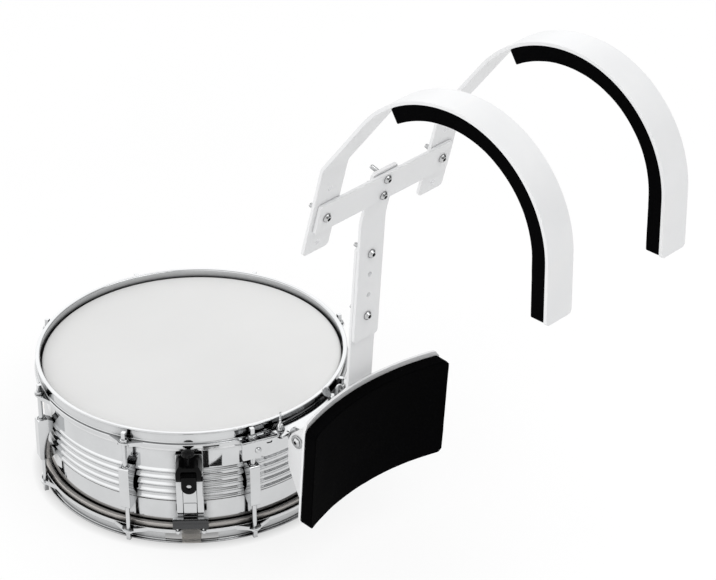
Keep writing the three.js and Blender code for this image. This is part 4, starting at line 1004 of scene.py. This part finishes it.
def shoulders():
    corner, hole_pitch = 5.0, 37.5
    for name, side in SIDES:
        place = CROSSING @ Matrix.Translation((side * SHOULDER_X, 0, CROSS_LEVEL))
        form = bent_strip(end_steps(shoulder_path(), corner), 0, -BAR_THICK, BAR_HALF, corner)
        holes = joined(*[hole_tool(0, k * hole_pitch) for k in (-1, 0, 1)])
        form = ease(combined(form, holes), BAR_EASE, 3, 38)
        piece(f"arch_{name}", form, WHITE, f"shoulder_{name}", [f"shoulder_bar_{name}"], place)
        pad = bent_strip(filled(shoulder_pad_path(), 4.5), BAR_GAP, 17.4, BAR_HALF - 0.1)
        across = [e for e in pad.edges if abs(e.verts[0].co.x - e.verts[1].co.x) > BAR_HALF]
        bmesh.ops.subdivide_edges(pad, edges=across, cuts=7, use_grid_fill=True)
        pad = piece(f"arch_foam_{name}", ease(pad, 1.4, 3, 60), FOAM, f"shoulder_{name}", [f"shoulder_pad_{name}"],
                    place, sharp=60, wobble=0.3)


def bar_bolt(name, node_name, place, face):
    """Bolt through two bars: head towards the player, washer, nut and tip on the drum's side, along +Y."""
    back = face + 2 * BAR_THICK + BAR_GAP
    shank = shift(rod_form([(2.85, face - 1), (2.85, back + 5)], 24))
    tip = thread(2.6, back + 4.0, back + 16.5, 20, 0.9, 0.22)
    head = shift(turned(socket_head(5.4, 3.6, 2.5), 180, "X"), z=face - 0.3)
    parts = [shank, tip, head, shift(hex_nut(5.4, 3.5), z=back + 1.3), shift(washer(5.4, 3.0, 0.9), z=back + 0.3)]
    piece(name, lying_y(joined(*parts)), BOLT, "carrier", [node_name], place)


def bolts():
    for name, z in (("lower", HEIGHT_HOLES[0]), ("upper", HEIGHT_HOLES[3])):
        bar_bolt(f"height_fastener_{name}", f"height_bolt_{name}", CARRIER @ Matrix.Translation((0, 0, z)),
                 UPPER_BACK)
    for name, s in LEVELS:
        bar_bolt(f"cross_fastener_{name}", f"crossbar_bolt_{name}",
                 CROSSING @ Matrix.Translation((0, 0, CROSS_LEVEL + s * CROSS_BOLT)), CROSS_BACK)
    for name, s in SIDES:
        bar_bolt(f"arch_fastener_{name}", f"shoulder_bolt_{name}",
                 CROSSING @ Matrix.Translation((s * SHOULDER_X, 0, CROSS_LEVEL)), CROSS_BACK)
    for name, z in zip(("lower", "upper"), PLATE_BOLTS):
        head = [(0.6, -52.15), (5.4, -52.15), (5.2, -51.4), (2.9, -50.4), (2.9, -44.9)]
        form = joined(rod_form(head, 32), shift(hex_nut(5.4, 4.4), z=-44.7))
        piece(f"plate_fastener_{name}", lying_y(form), BOLT, "carrier", [f"plate_bolt_{name}"],
              CARRIER @ Matrix.Translation((0, 0, z)))


# Studio
def staged(name, form, specular, tint, **finish):
    """A dull object that isn't part of the drum, in slightly uneven grey."""
    made, tree, shader = material(name, Roughness=0.9, **finish)
    shader.inputs["Specular IOR Level"].default_value = specular
    scale, dark, pale = tint
    shade = ramp(tree, cloud(tree, place_of(tree), scale, 2, 0.5), [(0.3, dark), (0.7, pale)])
    tree.links.new(shade, shader.inputs["Base Color"])
    put = as_object(name, form, made)
    return put, tree, shader


def floor():
    """Pale floor that glows less near the drum, so that its shadow stays."""
    form = bmesh.new()
    bmesh.ops.create_circle(form, cap_ends=True, radius=FLOOR_RADIUS, segments=96)
    plane, tree, shader = staged("floor", form, 0.1, (2.0, 0.165, 0.175), Emission_Color=(1, 1, 1, 1))
    away = node(tree, "ShaderNodeVectorMath", {0: place_of(tree), 1: (0, AXIS_Y, 0)}, operation="DISTANCE")
    glow = spread(tree, away.outputs["Value"], 0.0, 0.82, 0.15, 0.2)
    tree.links.new(glow, shader.inputs["Emission Strength"])
    plane.location.z = -FLOOR_DROP


def floor_card():
    """A dark card lying on the floor that only shows in reflections."""
    card = staged("floor_card", moved(prism(CARD, -0.6, -0.4), TO_ROW), 0.0, (3.0, 0.016, 0.02))[0]
    card.visible_camera = card.visible_diffuse = card.visible_shadow = False


def key_light():
    data = bpy.data.lights.new("key", "AREA")
    data.shape, data.size, data.size_y, data.energy = "RECTANGLE", *KEY["size"], KEY["power"]
    made = bpy.data.objects.new("key", data)
    back = towards(KEY["azimuth"], KEY["elevation"])
    made.location = Vector((0, 0.1, 0.25)) + back * KEY["distance"]
    made.rotation_mode = "QUATERNION"
    made.rotation_quaternion = back.to_track_quat("Z", "Y")
    bpy.context.scene.collection.objects.link(made)


def surroundings():
    """A world that is pale on the open side and dark on the other, and plain white where it is seen directly."""
    world = bpy.data.worlds.new("studio")
    world.use_nodes = True
    tree = world.node_tree
    back = tree.nodes["Background"]
    ray = node(tree, "ShaderNodeTexCoord").outputs["Generated"]
    height = node(tree, "ShaderNodeSeparateXYZ", {0: ray}).outputs["Z"]
    facing = node(tree, "ShaderNodeVectorMath", {0: ray, 1: (0.574, -0.819, 0)}, operation="DOT_PRODUCT")
    open_side = ramp(tree, height, [(0.0, 0.8), (0.2, 1.25), (0.55, 1.25), (0.8, 0.65), (1.0, 0.5)])
    dark_side = ramp(tree, height, [(0.0, 0.02), (0.25, 0.05), (0.5, 0.35), (0.75, 0.8), (1.0, 0.6)])
    darkness = spread(tree, facing.outputs["Value"], 0.0, 1.0, -0.15, 0.55)
    tree.links.new(blend_colour(tree, darkness, open_side, dark_side), back.inputs["Color"])
    back.inputs["Strength"].default_value = 1.2
    paper = node(tree, "ShaderNodeBackground", {"Color": (1.0, 1.0, 1.0, 1.0), "Strength": 1.0}).outputs[0]
    seen = node(tree, "ShaderNodeLightPath").outputs["Is Camera Ray"]
    mixed = node(tree, "ShaderNodeMixShader", {0: seen, 1: back.outputs[0], 2: paper}).outputs[0]
    tree.links.new(mixed, tree.nodes["World Output"].inputs["Surface"])
    bpy.context.scene.world = world


def studio():
    surroundings()
    floor()
    key_light()
    floor_card()
    bpy.context.scene.view_settings.view_transform = "Standard"


def drum():
    shell()
    vent()
    heads()
    hoops()
    lug_sets()
    strainer()
    butt()
    snares()
    for name, side, turn in (("left", 1, 44), ("right", -1, -28)):
        drum_bracket(name, side)
        wing_screw(name, side, turn)
    yoke()


def carrier():
    tilt_bolts()
    belly_plate()
    belly_pad()
    lower_bar()
    upper_bar()
    crossbar()
    shoulders()
    bolts()


place_camera()
drum()
carrier()
studio()
